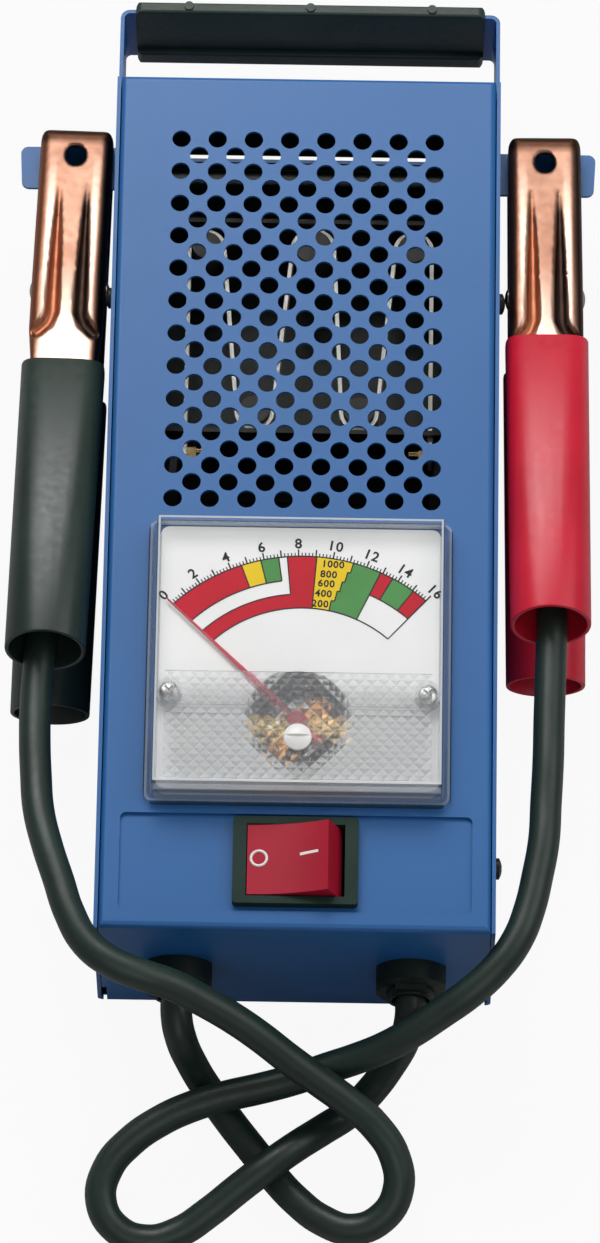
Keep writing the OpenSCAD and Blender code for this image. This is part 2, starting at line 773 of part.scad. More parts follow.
// Flat spiral of thin strip between the shaft and the bridge
module hairspring() color([0.72, 0.5, 0.3]) {
    turns = 3.5;
    strip = 0.3;
    steps = 84;
    r0 = shaft_d/2 + 0.5;
    pitch = 0.8;
    inner = [for (i = [0 : steps])
        (r0 + pitch*turns*i/steps)*[cos(360*turns*i/steps), sin(360*turns*i/steps)]];
    outer = [for (i = [steps : -1 : 0])
        (r0 + strip + pitch*turns*i/steps)*[cos(360*turns*i/steps), sin(360*turns*i/steps)]];
    translate([0, pivot_y, bridge_z + bridge_t]) linear_extrude(0.6)
        polygon(concat(inner, outer));
}

module pointer() color([0.8, 0.1, 0.12]) {
    blade_w0 = 1.4;
    blade_w1 = 0.5;
    tail = 7;
    translate([0, pivot_y, pointer_z]) {
        rotate(rest_angle) linear_extrude(pointer_t) {
            polygon([[-blade_w0/2, 0], [blade_w0/2, 0],
                     [blade_w1/2, pointer_l], [-blade_w1/2, pointer_l]]);
            translate([-blade_w0/2, -tail]) square([blade_w0, tail]);
            translate([0, -tail]) circle(d = 2.4);
            translate([-tail/2, -blade_w1]) square([tail, 2*blade_w1]);
        }
        difference() {
            translate([0, 0, -0.4]) cylinder(d = hub_d, h = pointer_t + 0.8);
            translate([0, 0, -1]) cylinder(d = shaft_d, h = 1.2, $fn = 24);
        }
    }
}

module moving_coil() color([0.72, 0.4, 0.2]) {
    z0 = magnet_z + magnet_h/2 - coil_h/2;
    outer = 2*(coil_r + coil_t);
    translate([0, pivot_y, 0]) {
        rotate(rest_angle) difference() {
            translate([-outer/2, -coil_w/2, z0]) cube([outer, coil_w, coil_h]);
            translate([-coil_r, -coil_w, z0 + 1.3]) cube([2*coil_r, 2*coil_w, coil_h - 2.6]);
        }
        translate([0, 0, z0 + coil_h - eps])
            cylinder(d = shaft_d, h = pointer_z - z0 - coil_h + eps, $fn = 24);
        translate([0, 0, z0 - 2]) cylinder(d = shaft_d, h = 2 + eps, $fn = 24);
    }
}

module zero_adjuster() color([0.95, 0.95, 0.93]) {
    rise = 1.6;
    gap = 0.15;
    translate([0, adjuster_y, lens_top]) difference() {
        union() {
            intersection() {
                translate([0, 0, gap]) cylinder(d = adjuster_d, h = rise);
                translate([0, 0, gap + rise - adjuster_d]) sphere(r = adjuster_d);
            }
            translate([0, 0, -lens_wall - gap - 0.8])
                cylinder(d = adjuster_shaft_d, h = lens_wall + 2*gap + 0.8 + eps);
            translate([0, 0, -lens_wall - gap - 0.8])
                cylinder(d = adjuster_shaft_d + 1.2, h = 0.8);
        }
        translate([-adjuster_d, -0.4, gap + rise - 0.7]) cube([2*adjuster_d, 0.8, 2]);
    }
}

module meter_terminals() color([0.8, 0.65, 0.3]) {
    back = body_d - barrel_depth;
    for (side = [-1, 1]) translate([side*stud_x, barrel_y, 0]) {
        translate([0, 0, back - 9]) cylinder(d = stud_d, h = 9 + barrel_wall, $fn = 24);
        translate([0, 0, back - 3.2]) cylinder(d = 8, h = 3.2, $fn = 6);
    }
}

// ---- Switch

module switch_body() color([0.07, 0.09, 0.08]) {
    floor_z = bezel_top - 17;
    translate([0, switch_cy, 0]) difference() {
        union() {
            translate([0, 0, pocket_floor]) linear_extrude(bezel_t)
                rounded_box(bezel_w, bezel_h, 1);
            translate([-switch_out_w/2, -switch_out_h/2, bezel_top - bezel_t - switch_depth])
                cube([switch_out_w, switch_out_h, switch_depth + eps]);
        }
        translate([-switch_in_w/2, -switch_in_h/2, floor_z])
            cube([switch_in_w, switch_in_h, 2*switch_depth]);
        translate([0, switch_out_h, rocker_z]) rotate([90, 0, 0])
            cylinder(d = rocker_pin_d + 2*running_gap, h = 2*switch_out_h);
    }
}

// Side view of the rocker at mid travel, with its pivot at the origin
module rocker_outline() {
    half = rocker_w/2;
    crest_x = half - rocker_crest_inset;
    hollow_r = (crest_x*crest_x + rocker_dip*rocker_dip)/(2*rocker_dip);
    difference() {
        polygon([[-half + 0.7, -3.5], [half - 0.7, -3.5], [half, 0.5],
                 [crest_x, rocker_crest_z], [-crest_x, rocker_crest_z], [-half, 0.5]]);
        translate([0, rocker_crest_z - rocker_dip + hollow_r]) circle(hollow_r, $fn = 144);
    }
    circle(r = 7);
}

module switch_rocker() color([0.68, 0.12, 0.18]) {
    translate([0, switch_cy, rocker_z]) rotate([0, -rocker_tilt, 0]) {
        difference() {
            along_y(-rocker_h/2, rocker_h/2) rocker_outline();
            // hollow underside
            along_y(-rocker_h/2 + 2, rocker_h/2 - 2)
                translate([-rocker_w/2 + 2.5, -8]) square([rocker_w - 5, 5]);
        }
        rotate([90, 0, 0])
            cylinder(d = rocker_pin_d, h = rocker_h + 2*rocker_gap + 2*switch_wall - 1,
                     center = true);
    }
}

module switch_terminals() color([0.8, 0.7, 0.4]) {
    bottom = bezel_top - bezel_t - switch_depth;
    for (x = [-1 : 1])
        translate([x*8 - blade_t/2, switch_cy - blade_w/2, bottom - blade_l])
            cube([blade_t, blade_w, blade_l]);
}

// ---- Load resistor

// One straight leg of the ribbon, seen from the front
module leg(p, q) {
    d = q - p;
    translate(p) rotate(atan2(d.y, d.x)) translate([0, -ribbon_t/2])
        square([norm(d), ribbon_t]);
}

// A half turn joining two legs at height y, bulging up or down
module turn(x0, x1, y, up) {
    r = (x1 - x0)/2;
    translate([(x0 + x1)/2, y]) difference() {
        circle(r + ribbon_t/2);
        circle(r - ribbon_t/2);
        translate([-2*r, up ? -2*r : 0]) square([4*r, 2*r]);
    }
}

module load_ribbon() color([0.72, 0.72, 0.7]) {
    translate([0, 0, ribbon_z]) linear_extrude(ribbon_w) {
        for (i = [0 : 5])
            leg([leg_top[i], ribbon_y1],
                [leg_bottom[i], ribbon_y0 - (i == 0 || i == 5 ? lug_l : 0)]);
        for (i = [0, 2, 4]) turn(leg_top[i], leg_top[i + 1], ribbon_y1, true);
        for (i = [1, 3]) turn(leg_bottom[i], leg_bottom[i + 1], ribbon_y0, false);
    }
}

// Ceramic spools that the ribbon turns round
module spool(x0, x1, y) {
    foot_z = ribbon_z - tab_gap;
    translate([(x0 + x1)/2, y, foot_z])
        cylinder(d = x1 - x0 - ribbon_t - 2*post_gap, h = ribbon_w + 2*tab_gap);
}

module ribbon_insulators() color([0.25, 0.24, 0.22]) {
    for (i = [0, 2, 4]) spool(leg_top[i], leg_top[i + 1], ribbon_y1);
    for (i = [1, 3]) spool(leg_bottom[i], leg_bottom[i + 1], ribbon_y0);
}

// An upright strip with a foot on the back plate and a tab for each spool,
// drawn with its tabs towards +Y
module bracket(spools) {
    w = inner_w/2 - bracket_gap;
    tab_z = ribbon_z - tab_gap - bracket_t;
    along_x(-w, w) {
        translate([-bracket_t/2, sheet]) square([bracket_t, bracket_z - sheet]);
        translate([-foot_w, sheet]) square([foot_w, bracket_t]);
    }
    for (x = spools)
        translate([x - tab_w/2, 0, tab_z]) cube([tab_w, tab_l, bracket_t]);
}

module ribbon_brackets() color([0.2, 0.2, 0.19]) {
    reach = ribbon_t/2 + turn_gap + bracket_t/2;
    lower = [for (i = [1, 3]) [leg_bottom[i], leg_bottom[i + 1]]];
    upper = [for (i = [0, 2, 4]) [leg_top[i], leg_top[i + 1]]];
    // the widest turn sets where a bracket stands
    lower_r = max([for (t = lower) (t[1] - t[0])/2]);
    upper_r = max([for (t = upper) (t[1] - t[0])/2]);
    difference() {
        translate([0, ribbon_y0 - lower_r - reach, 0])
            bracket([for (t = lower) (t[0] + t[1])/2]);
        // slots that the ribbon's two ends pass through
        for (x = [leg_bottom[0], leg_bottom[5]])
            translate([x - ribbon_t/2 - post_gap, ribbon_y0 - lug_l, ribbon_z - post_gap])
                cube([ribbon_t + 2*post_gap, lug_l, ribbon_w + 2*post_gap]);
    }
    translate([0, ribbon_y1 + upper_r + reach, 0]) mirror([0, 1, 0])
        bracket([for (t = upper) (t[0] + t[1])/2]);
}

module ribbon_terminals() color([0.8, 0.65, 0.3]) {
    for (x = [leg_top[0], leg_top[5]]) {
        side = x < 0 ? 1 : -1;
        translate([x + side*ribbon_t/2, terminal_y, ribbon_z + ribbon_w/2])
            rotate([0, side*90, 0]) {
                cylinder(d = terminal_d, h = 2.4, $fn = 6);
                cylinder(d = terminal_d/2, h = 5, $fn = 24);
            }
    }
}

// Wires from the glands to the switch and the ribbon, and from there to the meter
module inner_wires() color([0.1, 0.12, 0.11]) {
    wire_end_y = -half_h + 8;
    low_z = 9;
    left_x = leg_top[0];
    right_x = leg_top[5];
    end_y = terminal_y;
    end_z = ribbon_z + ribbon_w/2;
    blade_z = bezel_top - bezel_t - switch_depth - blade_l;
    back = body_d - barrel_depth - 9;
    tube([[-gland_x, wire_end_y, gland_z], [-gland_x - 3, wire_end_y + 10, gland_z - 5],
          [-gland_x - 7, -half_h + 45, low_z + 2], [-gland_x - 8, -half_h + 90, low_z],
          [left_x - 5, end_y - 18, low_z + 5], [left_x - 4.2, end_y - 9, end_z - 1.5],
          [left_x - 3.4, end_y, end_z]], wire_d, wire_sides);
    tube([[gland_x, wire_end_y, gland_z], [gland_x - 4, wire_end_y + 4, gland_z - 6],
          [gland_x - 11, wire_end_y + 6, blade_z - 4], [gland_x - 17, switch_cy, blade_z - 3],
          [8, switch_cy, blade_z - 2.8]], wire_d, wire_sides);
    tube([[-8, switch_cy, blade_z - 2.8], [-4, switch_cy + 8, blade_z - 5],
          [10, switch_cy + 22, low_z], [27, -half_h + 60, low_z], [36, -half_h + 95, low_z],
          [right_x + 2, end_y - 18, low_z + 5], [right_x + 2.6, end_y - 9, end_z - 3],
          [right_x + 3.4, end_y, end_z]], wire_d, wire_sides);
    for (side = [-1, 1])
        tube([[side*stud_x, barrel_y, back - 1.2], [side*(stud_x + 3), barrel_y - 5, back - 3],
              [side*(stud_x + 6), barrel_y - 20, low_z + 1],
              [side > 0 ? 8 : -24, switch_cy + (side > 0 ? 3.8 : 12), side > 0 ? blade_z + 3 : low_z]],
             thin_wire_d, wire_sides);
}

// ---- Glands and leads

// Snap-in strain relief, in its own frame: +Z along the lead, away from the case
module gland() {
    flange_t = 6;
    nose_d = 13;
    difference() {
        union() {
            intersection() {
                cylinder(d = gland_w + 1.5, h = flange_t);
                cylinder(d1 = gland_w + 2*flange_t + 2, d2 = gland_w - 1, h = flange_t);
                translate([-gland_w/2, -gland_w, 0]) cube([gland_w, 2*gland_w, flange_t]);
            }
            cylinder(d1 = nose_d + 2, d2 = lead_d + 3.4, h = gland_reach);
            // wedge that locks the lead
            translate([-4, lead_d/2 - 1, 0]) cube([8, 4.6, gland_reach - 0.5]);
            translate([0, 0, -7]) cylinder(d = gland_hole_d - 0.2, h = 7 + eps);
            // snap shoulder behind the wall
            translate([0, 0, -sheet - 0.3 - 3])
                intersection() {
                    cylinder(d1 = gland_hole_d, d2 = gland_hole_d + 2.4, h = 3);
                    translate([-gland_w, -3, 0]) cube([2*gland_w, 6, 3]);
                }
        }
        translate([0, 0, -8]) cylinder(d = lead_d - 2, h = 7);
        translate([0, 0, gland_reach - 2.5]) cylinder(d = lead_d + 1.6, h = 3);
    }
}

module gland_at(side) {
    translate([side*gland_x, -half_h - eps, gland_z]) rotate([90, 0, 0]) gland();
}

module left_gland() color([0.09, 0.1, 0.1]) gland_at(-1);
module right_gland() color([0.09, 0.1, 0.1]) gland_at(1);

module left_lead() color([0.1, 0.14, 0.12]) tube(left_route, lead_d, lead_sides);
module right_lead() color([0.1, 0.14, 0.12]) tube(right_route, lead_d, lead_sides);

// ---- Clamps: drawn with the pivot at the origin, +Y to the nose, +Z outward

module place_clamp(left) {
    translate(left ? left_pivot : right_pivot) rotate(left ? -left_lean : right_lean)
        children();
}

// A 2-D shape with its outer corners rounded
module softened(r) {
    offset(r) offset(delta = -r) children();
}

// Side view of an arm: its back, nose and handle, before the channel is hollowed
module arm_side(inset) {
    handle_rise = tan(handle_tilt);
    z_end = handle_z0 + (handle_l - handle_y0)*handle_rise;
    difference() {
        softened(nose_r - inset) polygon([
            [nose_l - inset, -lobe_r], [nose_l - inset, nose_h - inset],
            [0, back_h - inset], [-handle_y0, handle_z0 - inset],
            [-handle_l - inset, z_end - inset],
            [-handle_l - inset, z_end - handle_d - 2*inset],
            [-handle_y0, handle_z0 - handle_d - 0.4 - 2*inset],
            [-lobe_r - 0.5, edge_z + 0.4 - inset], [-lobe_r - 0.5, -2*lobe_r],
            [nose_l - inset, -2*lobe_r]]);
        if (inset == 0)
            translate([-handle_l*1.5, -3*lobe_r])
                square([handle_l*1.5 - lobe_r, 3*lobe_r + edge_z + 0.4]);
    }
}

// Plan view of an arm: full width at the jaw, tapering along the handle
module arm_plan(inset) {
    w = jaw_w/2 - inset;
    e = handle_w/2 - inset;
    tail_y = -handle_l - 2*nose_r;
    softened(nose_r - inset)
        polygon([[-w, nose_l - inset], [w, nose_l - inset], [w, -handle_y0],
                 [e, -handle_y0 - 30], [e, tail_y], [-e, tail_y],
                 [-e, -handle_y0 - 30], [-w, -handle_y0]]);
}

// A round-shouldered bar through a point of the back, with the back's slope there
module arm_bar(inset, y, z, slope) {
    w = jaw_w/2 - inset;
    translate([0, y, z - inset]) rotate([-slope, 0, 0])
        along_y(-2*handle_l, 2*nose_l) rounded([-w, -3*back_h], [w, 0], jaw_r - inset);
}

// The jaw's bar and the pivot's meet in a ridge, and the handle's rises out of them
module arm_bars(inset) {
    intersection() {
        arm_bar(inset, 0, back_h, jaw_tilt);
        arm_bar(inset, 0, back_h, atan((handle_z0 - back_h)/handle_y0));
    }
    arm_bar(inset, -handle_y0, handle_z0, handle_tilt);
}

// Pressed grooves along the back, which turn outward at the pivot's end
module flutes(wall) {
    z0 = back_h + 0.4;
    z1 = back_h - flute_y1*tan(jaw_tilt) + 0.2;
    y0 = flute_y0;
    hook = flute_hook;
    for (side = [-1, 1])
        tube([[side*flute_x, flute_y1, z1], [side*flute_x, y0 + hook/2, z0],
              [side*(flute_x + hook/4), y0 - hook/4, z0],
              [side*(flute_x + hook), y0 - hook, z0],
              [side*(flute_x + hook + flute_r/2), y0 - hook - flute_r/2, z0]],
             [for (r = [flute_end_r, flute_r, flute_r, flute_r, flute_r/2]) 2*(r + wall)],
             flute_sides);
}

module arm_solid(inset) {
    intersection() {
        arm_bars(inset);
        along_x(-jaw_w, jaw_w) arm_side(inset);
        translate([0, 0, -2*lobe_r]) linear_extrude(5*jaw_w) arm_plan(inset);
    }
}

// Teeth along the jaw's edges, and the recess that takes a battery post
module jaw_edge_cuts(edge) {
    along_x(-jaw_w, jaw_w) {
        translate([-lobe_r, -3*lobe_r]) difference() {
            square([nose_l + 2*lobe_r, 3*lobe_r + edge]);
            translate([lobe_r, 3*lobe_r]) circle(lobe_r);
        }
        for (y = [nose_l - 2.5 : -tooth_pitch : nose_l - 16])
            polygon([[y, edge - eps], [y - tooth_pitch + 0.8, edge - eps],
                     [y - tooth_pitch/2 + 0.4, edge + tooth_h]]);
        translate([17, -7]) circle(r = 12 + edge, $fn = 64);
    }
}

// Lower lobes sit inside the upper ones
module arm(upper) {
    edge = upper ? edge_z : edge_z + jaw_gap;
    lobe_x = jaw_w/2 - jaw_t - arm_gap;
    difference() {
        union() {
            difference() {
                arm_solid(0);
                difference() {
                    arm_solid(jaw_t);
                    intersection() {
                        flutes(jaw_t);
                        arm_solid(0);
                    }
                }
                jaw_edge_cuts(edge);
                if (!upper) {
                    // room for the upper arm's lobes
                    rotate([0, 90, 0])
                        cylinder(r = lobe_r + 0.4, h = 2*jaw_w, center = true);
                }
            }
            if (!upper)
                for (side = [-1, 1]) {
                    translate([side*(lobe_x - jaw_t/2) - jaw_t/2, 0, 0]) rotate([0, 90, 0])
                        cylinder(r = lobe_r - 0.4, h = jaw_t);
                    translate([side*(lobe_x - jaw_t/2) - jaw_t/2, -lobe_r + 1, 0])
                        cube([jaw_t, 2*lobe_r - 2, lobe_r + 3]);
                    translate([side*(lobe_x + arm_gap/2 - jaw_t/2) - (jaw_t + arm_gap)/2,
                               -lobe_r + 1, lobe_r + 0.8])
                        cube([jaw_t + arm_gap + 0.4, 2*lobe_r - 2, 2.2]);
                }
        }
        flutes(0);
        translate([0, nose_l - nose_hole_inset, 0]) linear_extrude(2*nose_h)
            rounded([-nose_hole_d/2, -nose_hole_l/2], [nose_hole_d/2, nose_hole_l/2],
                    nose_hole_d/2 - eps);
        rotate([0, 90, 0])
            cylinder(d = pin_d + (upper ? 0 : 2*running_gap), h = 2*jaw_w, center = true);
    }
}

module upper_jaw(left) color([0.78, 0.5, 0.36]) place_clamp(left) arm(true);
module lower_jaw(left) color([0.74, 0.46, 0.33])
    place_clamp(left) mirror([0, 0, 1]) arm(false);

module pivot_pin(left) color([0.55, 0.55, 0.56]) place_clamp(left) rotate([0, 90, 0]) {
    cylinder(d = pin_d, h = jaw_w + 2*eps, center = true);
    for (end = [0, 1]) mirror([0, 0, end])
        translate([0, 0, jaw_w/2]) intersection() {
            cylinder(d = head_d, h = head_h);
            translate([0, 0, head_h - head_d]) sphere(d = 2*head_d);
        }
}

// A sleeve pulled over the handle: flat where the channel fills it, round at its mouth
module sleeve_form(start, inset, squeeze) {
    tilt = sleeve_tilt;
    z0 = sleeve_z0 + (start - sleeve_start_left)*tan(tilt);
    d = sleeve_d - 2*inset;
    w = sleeve_start_w - 2*inset;
    h = sleeve_start_h - 2*inset;
    r = 4 - inset/2;
    extra = inset > 0 ? 0.5 : 0;
    translate([0, -start, z0]) rotate([90 - tilt, 0, 0]) hull() {
        translate([0, 0, -extra]) linear_extrude(0.1)
            for (x = [-1, 1], y = [-1, 1])
                translate([x*(w/2 - r), y*(h/2 - r)]) circle(r, $fn = 24);
        translate([0, 0, sleeve_l*0.85]) linear_extrude(0.1) circle(d = d, $fn = 32);
        translate([0, 0, sleeve_l - 0.1 + extra]) linear_extrude(0.1)
            scale([1, squeeze]) circle(d = d, $fn = 32);
    }
}

module sleeve(start, squeeze) {
    difference() {
        sleeve_form(start, 0, squeeze);
        sleeve_form(start, sleeve_wall, squeeze);
    }
}

module left_sleeve_colour() color([0.12, 0.17, 0.14]) children();
module right_sleeve_colour() color([0.78, 0.08, 0.16]) children();

module left_upper_sleeve() left_sleeve_colour() place_clamp(true)
    sleeve(sleeve_start_left, 1);
module left_lower_sleeve() left_sleeve_colour() place_clamp(true) mirror([0, 0, 1])
    sleeve(sleeve_start_left, 1);
module right_upper_sleeve() right_sleeve_colour() place_clamp(false)
    sleeve(sleeve_start_right, 1);
module right_lower_sleeve() right_sleeve_colour() place_clamp(false) mirror([0, 0, 1])
    sleeve(sleeve_start_right, 1);

// Torsion spring round the pivot pin, with one leg on each arm
module clamp_spring(left) color([0.5, 0.5, 0.52]) {
    steps = 14;
    r = spring_coil_d/2;
    width = spring_turns*(spring_wire + 0.15);
    total = spring_turns*360 - 180;
    coil = [for (i = [0 : spring_turns*steps])
        let (f = i/(spring_turns*steps), a = 90 - f*total)
        [(f - 0.5)*width, r*cos(a), r*sin(a)]];
    reach = [0, -spring_leg, 0];
    spread = [0, 0, spring_leg*0.34];
    leg_a = coil[0] + reach + spread;
    leg_b = coil[len(coil) - 1] + reach - spread;
    place_clamp(left) tube(concat([leg_a], coil, [leg_b]), spring_wire, 6, [1, 0, 0]);
}

// Copper lug crimped on the lead, its tongue held under the handle's back
module cable_lug(left) color([0.75, 0.5, 0.3]) place_clamp(left) {
    tongue_y0 = -67;
    tongue_l = 22;
    translate([0, lug_y, lead_drop + 1]) rotate([90, 0, 0])
        cylinder(d = lug_d, h = lug_y - lug_end_y - 0.3);
    translate([0, -handle_y0, handle_z0 - jaw_t - 0.25]) rotate([-handle_tilt, 0, 0])
        translate([-3.5, tongue_y0, -2]) cube([7, tongue_l, 2]);
}

module left_upper_jaw() upper_jaw(true);
module left_lower_jaw() lower_jaw(true);
module left_pivot_pin() pivot_pin(true);
module left_spring() clamp_spring(true);
module left_cable_lug() cable_lug(true);
module right_upper_jaw() upper_jaw(false);
module right_lower_jaw() lower_jaw(false);
module right_pivot_pin() pivot_pin(false);
module right_spring() clamp_spring(false);
module right_cable_lug() cable_lug(false);

front_cover();
rear_shell();
handle_grip();
case_screws();
left_gland();
right_gland();
meter_base();
meter_cover();
meter_screws();
dial_plate();
magnet_ring();
meter_core();
meter_bridge();
hairspring();
pointer();
moving_coil();
zero_adjuster();
meter_terminals();
switch_body();
switch_rocker();
switch_terminals();
load_ribbon();
ribbon_insulators();
ribbon_brackets();
ribbon_terminals();
inner_wires();
left_upper_jaw();
left_upper_sleeve();
left_lower_jaw();
left_lower_sleeve();
left_pivot_pin();
left_spring();
left_cable_lug();
left_lead();
right_upper_jaw();
right_upper_sleeve();
right_lower_jaw();
right_lower_sleeve();
right_pivot_pin();
right_spring();
right_cable_lug();
right_lead();
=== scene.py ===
# %% [markdown]
# A battery load tester: a blue steel case with a strap handle, a perforated
# front, a moving-coil meter and two leads with copper-plated spring clamps.
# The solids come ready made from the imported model. This lesson gives each of
# them a finish, and models by hand the pieces that a solid can't show well:
# the leads, the cover's pyramids, the pressed jaws, the soft sleeves, the
# springs, the dial's print, the fine needle and the marks on the switch.

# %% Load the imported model
import math

import bmesh
import bpy
from mathutils import Matrix, Vector


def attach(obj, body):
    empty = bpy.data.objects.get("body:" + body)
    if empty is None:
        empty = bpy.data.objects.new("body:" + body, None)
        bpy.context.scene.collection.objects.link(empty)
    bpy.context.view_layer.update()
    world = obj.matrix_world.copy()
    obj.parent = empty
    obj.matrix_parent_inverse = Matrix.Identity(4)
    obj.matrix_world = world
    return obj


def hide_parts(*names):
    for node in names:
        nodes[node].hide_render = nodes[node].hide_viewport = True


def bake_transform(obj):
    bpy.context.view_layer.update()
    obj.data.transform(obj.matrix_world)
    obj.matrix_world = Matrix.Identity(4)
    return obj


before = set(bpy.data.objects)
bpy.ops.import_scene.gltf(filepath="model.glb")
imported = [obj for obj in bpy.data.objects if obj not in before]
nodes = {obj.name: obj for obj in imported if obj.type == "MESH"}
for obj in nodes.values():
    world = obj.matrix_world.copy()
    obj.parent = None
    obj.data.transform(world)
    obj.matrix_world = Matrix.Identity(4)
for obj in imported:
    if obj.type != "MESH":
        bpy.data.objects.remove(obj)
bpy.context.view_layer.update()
MM = 0.001
print("nodes loaded:", len(nodes))

# %% [markdown]
# The camera looks down at the tester from the leads' side, 23 degrees off
# plumb. It could be aimed with three rotation angles, but those are hard to
# read. Here its turn is built from three axes, across, up and back, so that
# each small correction has a plain meaning. A long lens from about two metres
# keeps the case's sides nearly parallel.

# %% Camera
def look_axes(tilt, yaw, roll):
    """The camera's axes: it tilts from straight down, then yaws, then rolls."""
    t, y, r = (math.radians(a) for a in (tilt, yaw, roll))
    ahead = Vector((0, math.sin(t), -math.cos(t)))
    up = Vector((0, math.cos(t), math.sin(t)))
    across = Vector((1, 0, 0))
    ahead, across = (ahead * math.cos(y) + across * math.sin(y),
                     across * math.cos(y) - ahead * math.sin(y))
    across, up = (across * math.cos(r) + up * math.sin(r),
                  up * math.cos(r) - across * math.sin(r))
    return across, up, -ahead


IMAGE_H = 1243
FOCAL_PX = 7368.8
SENSOR = 36
FARTHEST_VIEW = 20
CAMERA_PLACE = Vector((7.744, -762.73, 1766.02))
CAMERA_TURN = {"tilt": 23, "yaw": -0.2364, "roll": 0.9082}
camera_data = bpy.data.cameras.new("camera")
camera_data.sensor_width = SENSOR
camera_data.lens = FOCAL_PX * camera_data.sensor_width / IMAGE_H
camera_data.clip_end = FARTHEST_VIEW
camera = bpy.data.objects.new("camera", camera_data)
bpy.context.scene.collection.objects.link(camera)
bpy.context.scene.camera = camera
turn = Matrix(look_axes(**CAMERA_TURN)).transposed()
camera.matrix_world = Matrix.Translation(CAMERA_PLACE * MM) @ turn.to_4x4()
print("lens", round(camera_data.lens, 2), "mm")

# %% [markdown]
# Small helpers keep the later steps short. Operators act on everything that
# is selected, so each step starts with nothing selected. Each finished piece
# has its place in its mesh, with its object at the origin, so that a pattern
# on Object coordinates lies where it was laid out. Every piece is dressed in
# the same way: a name, one material, and the body that it rides on.

# %% Helpers for selecting and finishing
def clear_selection():
    if bpy.context.object and bpy.context.object.mode != "OBJECT":
        bpy.ops.object.mode_set(mode="OBJECT")
    bpy.ops.object.select_all(action="DESELECT")


def only(obj):
    clear_selection()
    obj.select_set(True)
    bpy.context.view_layer.objects.active = obj
    return obj


def settle(obj):
    """Moves a piece's place into its mesh."""
    only(obj)
    bpy.ops.object.transform_apply(location=True, rotation=True, scale=True)
    return obj


def apply_modifiers(obj):
    only(obj)
    for modifier in list(obj.modifiers):
        bpy.ops.object.modifier_apply(modifier=modifier.name)
    return obj


def smooth(obj, angle):
    only(obj)
    bpy.ops.object.shade_smooth_by_angle(angle=math.radians(angle))
    return obj


def flip_faces():
    """Turns the active piece's faces the other way round."""
    bpy.ops.object.mode_set(mode="EDIT")
    bpy.ops.mesh.select_all(action="SELECT")
    bpy.ops.mesh.flip_normals()
    bpy.ops.object.mode_set(mode="OBJECT")


def link_new(name, data):
    """Puts a new object with this mesh, curve or lamp into the scene."""
    obj = bpy.data.objects.new(name, data)
    bpy.context.scene.collection.objects.link(obj)
    return obj


def dress(obj, name, body, slot, material, *stands_for):
    """Names a piece, gives it its material and says what it rides on."""
    obj.name = name
    obj.data.name = name
    obj.data.materials.clear()
    obj.data.materials.append(material)
    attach(obj, body)
    if stands_for:
        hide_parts(*stands_for)
    return obj


print("helpers ready")

# %% [markdown]
# Each finish is a node tree on Object coordinates, so it stays put when a
# piece moves. Painted pictures would do too, but they need an unwrapped mesh,
# and noise can be tuned with a few numbers. The base recipe mixes two near
# colours with soft noise, and varies the roughness and the bump with finer
# noise. A surface with more to show, such as the copper, adds its own nodes.

# %% The base recipe for a finish
TONE_START, TONE_END = 0.35, 0.65
GRAIN_START, GRAIN_END = 0.3, 0.7


def tree_of(name):
    """A new material, its node tree and its shader node."""
    material = bpy.data.materials.new(name)
    material.use_nodes = True
    tree = material.node_tree
    return material, tree, tree.nodes["Principled BSDF"]


def noise(tree, scale, detail=3.0):
    cloud = tree.nodes.new("ShaderNodeTexNoise")
    cloud.inputs["Scale"].default_value = scale
    cloud.inputs["Detail"].default_value = detail
    where = tree.nodes.new("ShaderNodeTexCoord").outputs["Object"]
    tree.links.new(where, cloud.inputs["Vector"])
    return cloud.outputs["Fac"]


def spread(tree, source, low, high, start=0.0, end=1.0):
    """Runs from low to high while the source runs from start to end."""
    between = tree.nodes.new("ShaderNodeMapRange")
    between.inputs["From Min"].default_value = start
    between.inputs["From Max"].default_value = end
    between.inputs["To Min"].default_value = low
    between.inputs["To Max"].default_value = high
    tree.links.new(source, between.inputs["Value"])
    return between.outputs["Result"]


def two_tone(tree, source, dark, light):
    ramp = tree.nodes.new("ShaderNodeValToRGB")
    ends = ramp.color_ramp.elements
    ends[0].position, ends[0].color = TONE_START, (*dark, 1)
    ends[1].position, ends[1].color = TONE_END, (*light, 1)
    tree.links.new(source, ramp.inputs["Fac"])
    return ramp.outputs["Color"]


def finish_of(name, dark, light, rough=(0.4, 0.5), metal=0.0, blotch=60, grain=900,
              bump=0.0, bump_mm=0.1, specular=0.5):
    """Blotch and grain are noise scales, rough is a range, bump a strength."""
    material, tree, shader = tree_of(name)
    soft = noise(tree, blotch)
    fine = noise(tree, grain, detail=2.0)
    gloss = spread(tree, fine, *rough, GRAIN_START, GRAIN_END)
    tree.links.new(two_tone(tree, soft, dark, light), shader.inputs["Base Color"])
    tree.links.new(gloss, shader.inputs["Roughness"])
    shader.inputs["Metallic"].default_value = metal
    shader.inputs["Specular IOR Level"].default_value = specular
    if bump:
        relief = tree.nodes.new("ShaderNodeBump")
        relief.inputs["Strength"].default_value = bump
        relief.inputs["Distance"].default_value = bump_mm * MM
        tree.links.new(fine, relief.inputs["Height"])
        tree.links.new(relief.outputs["Normal"], shader.inputs["Normal"])
    return material


print("finish recipe ready")
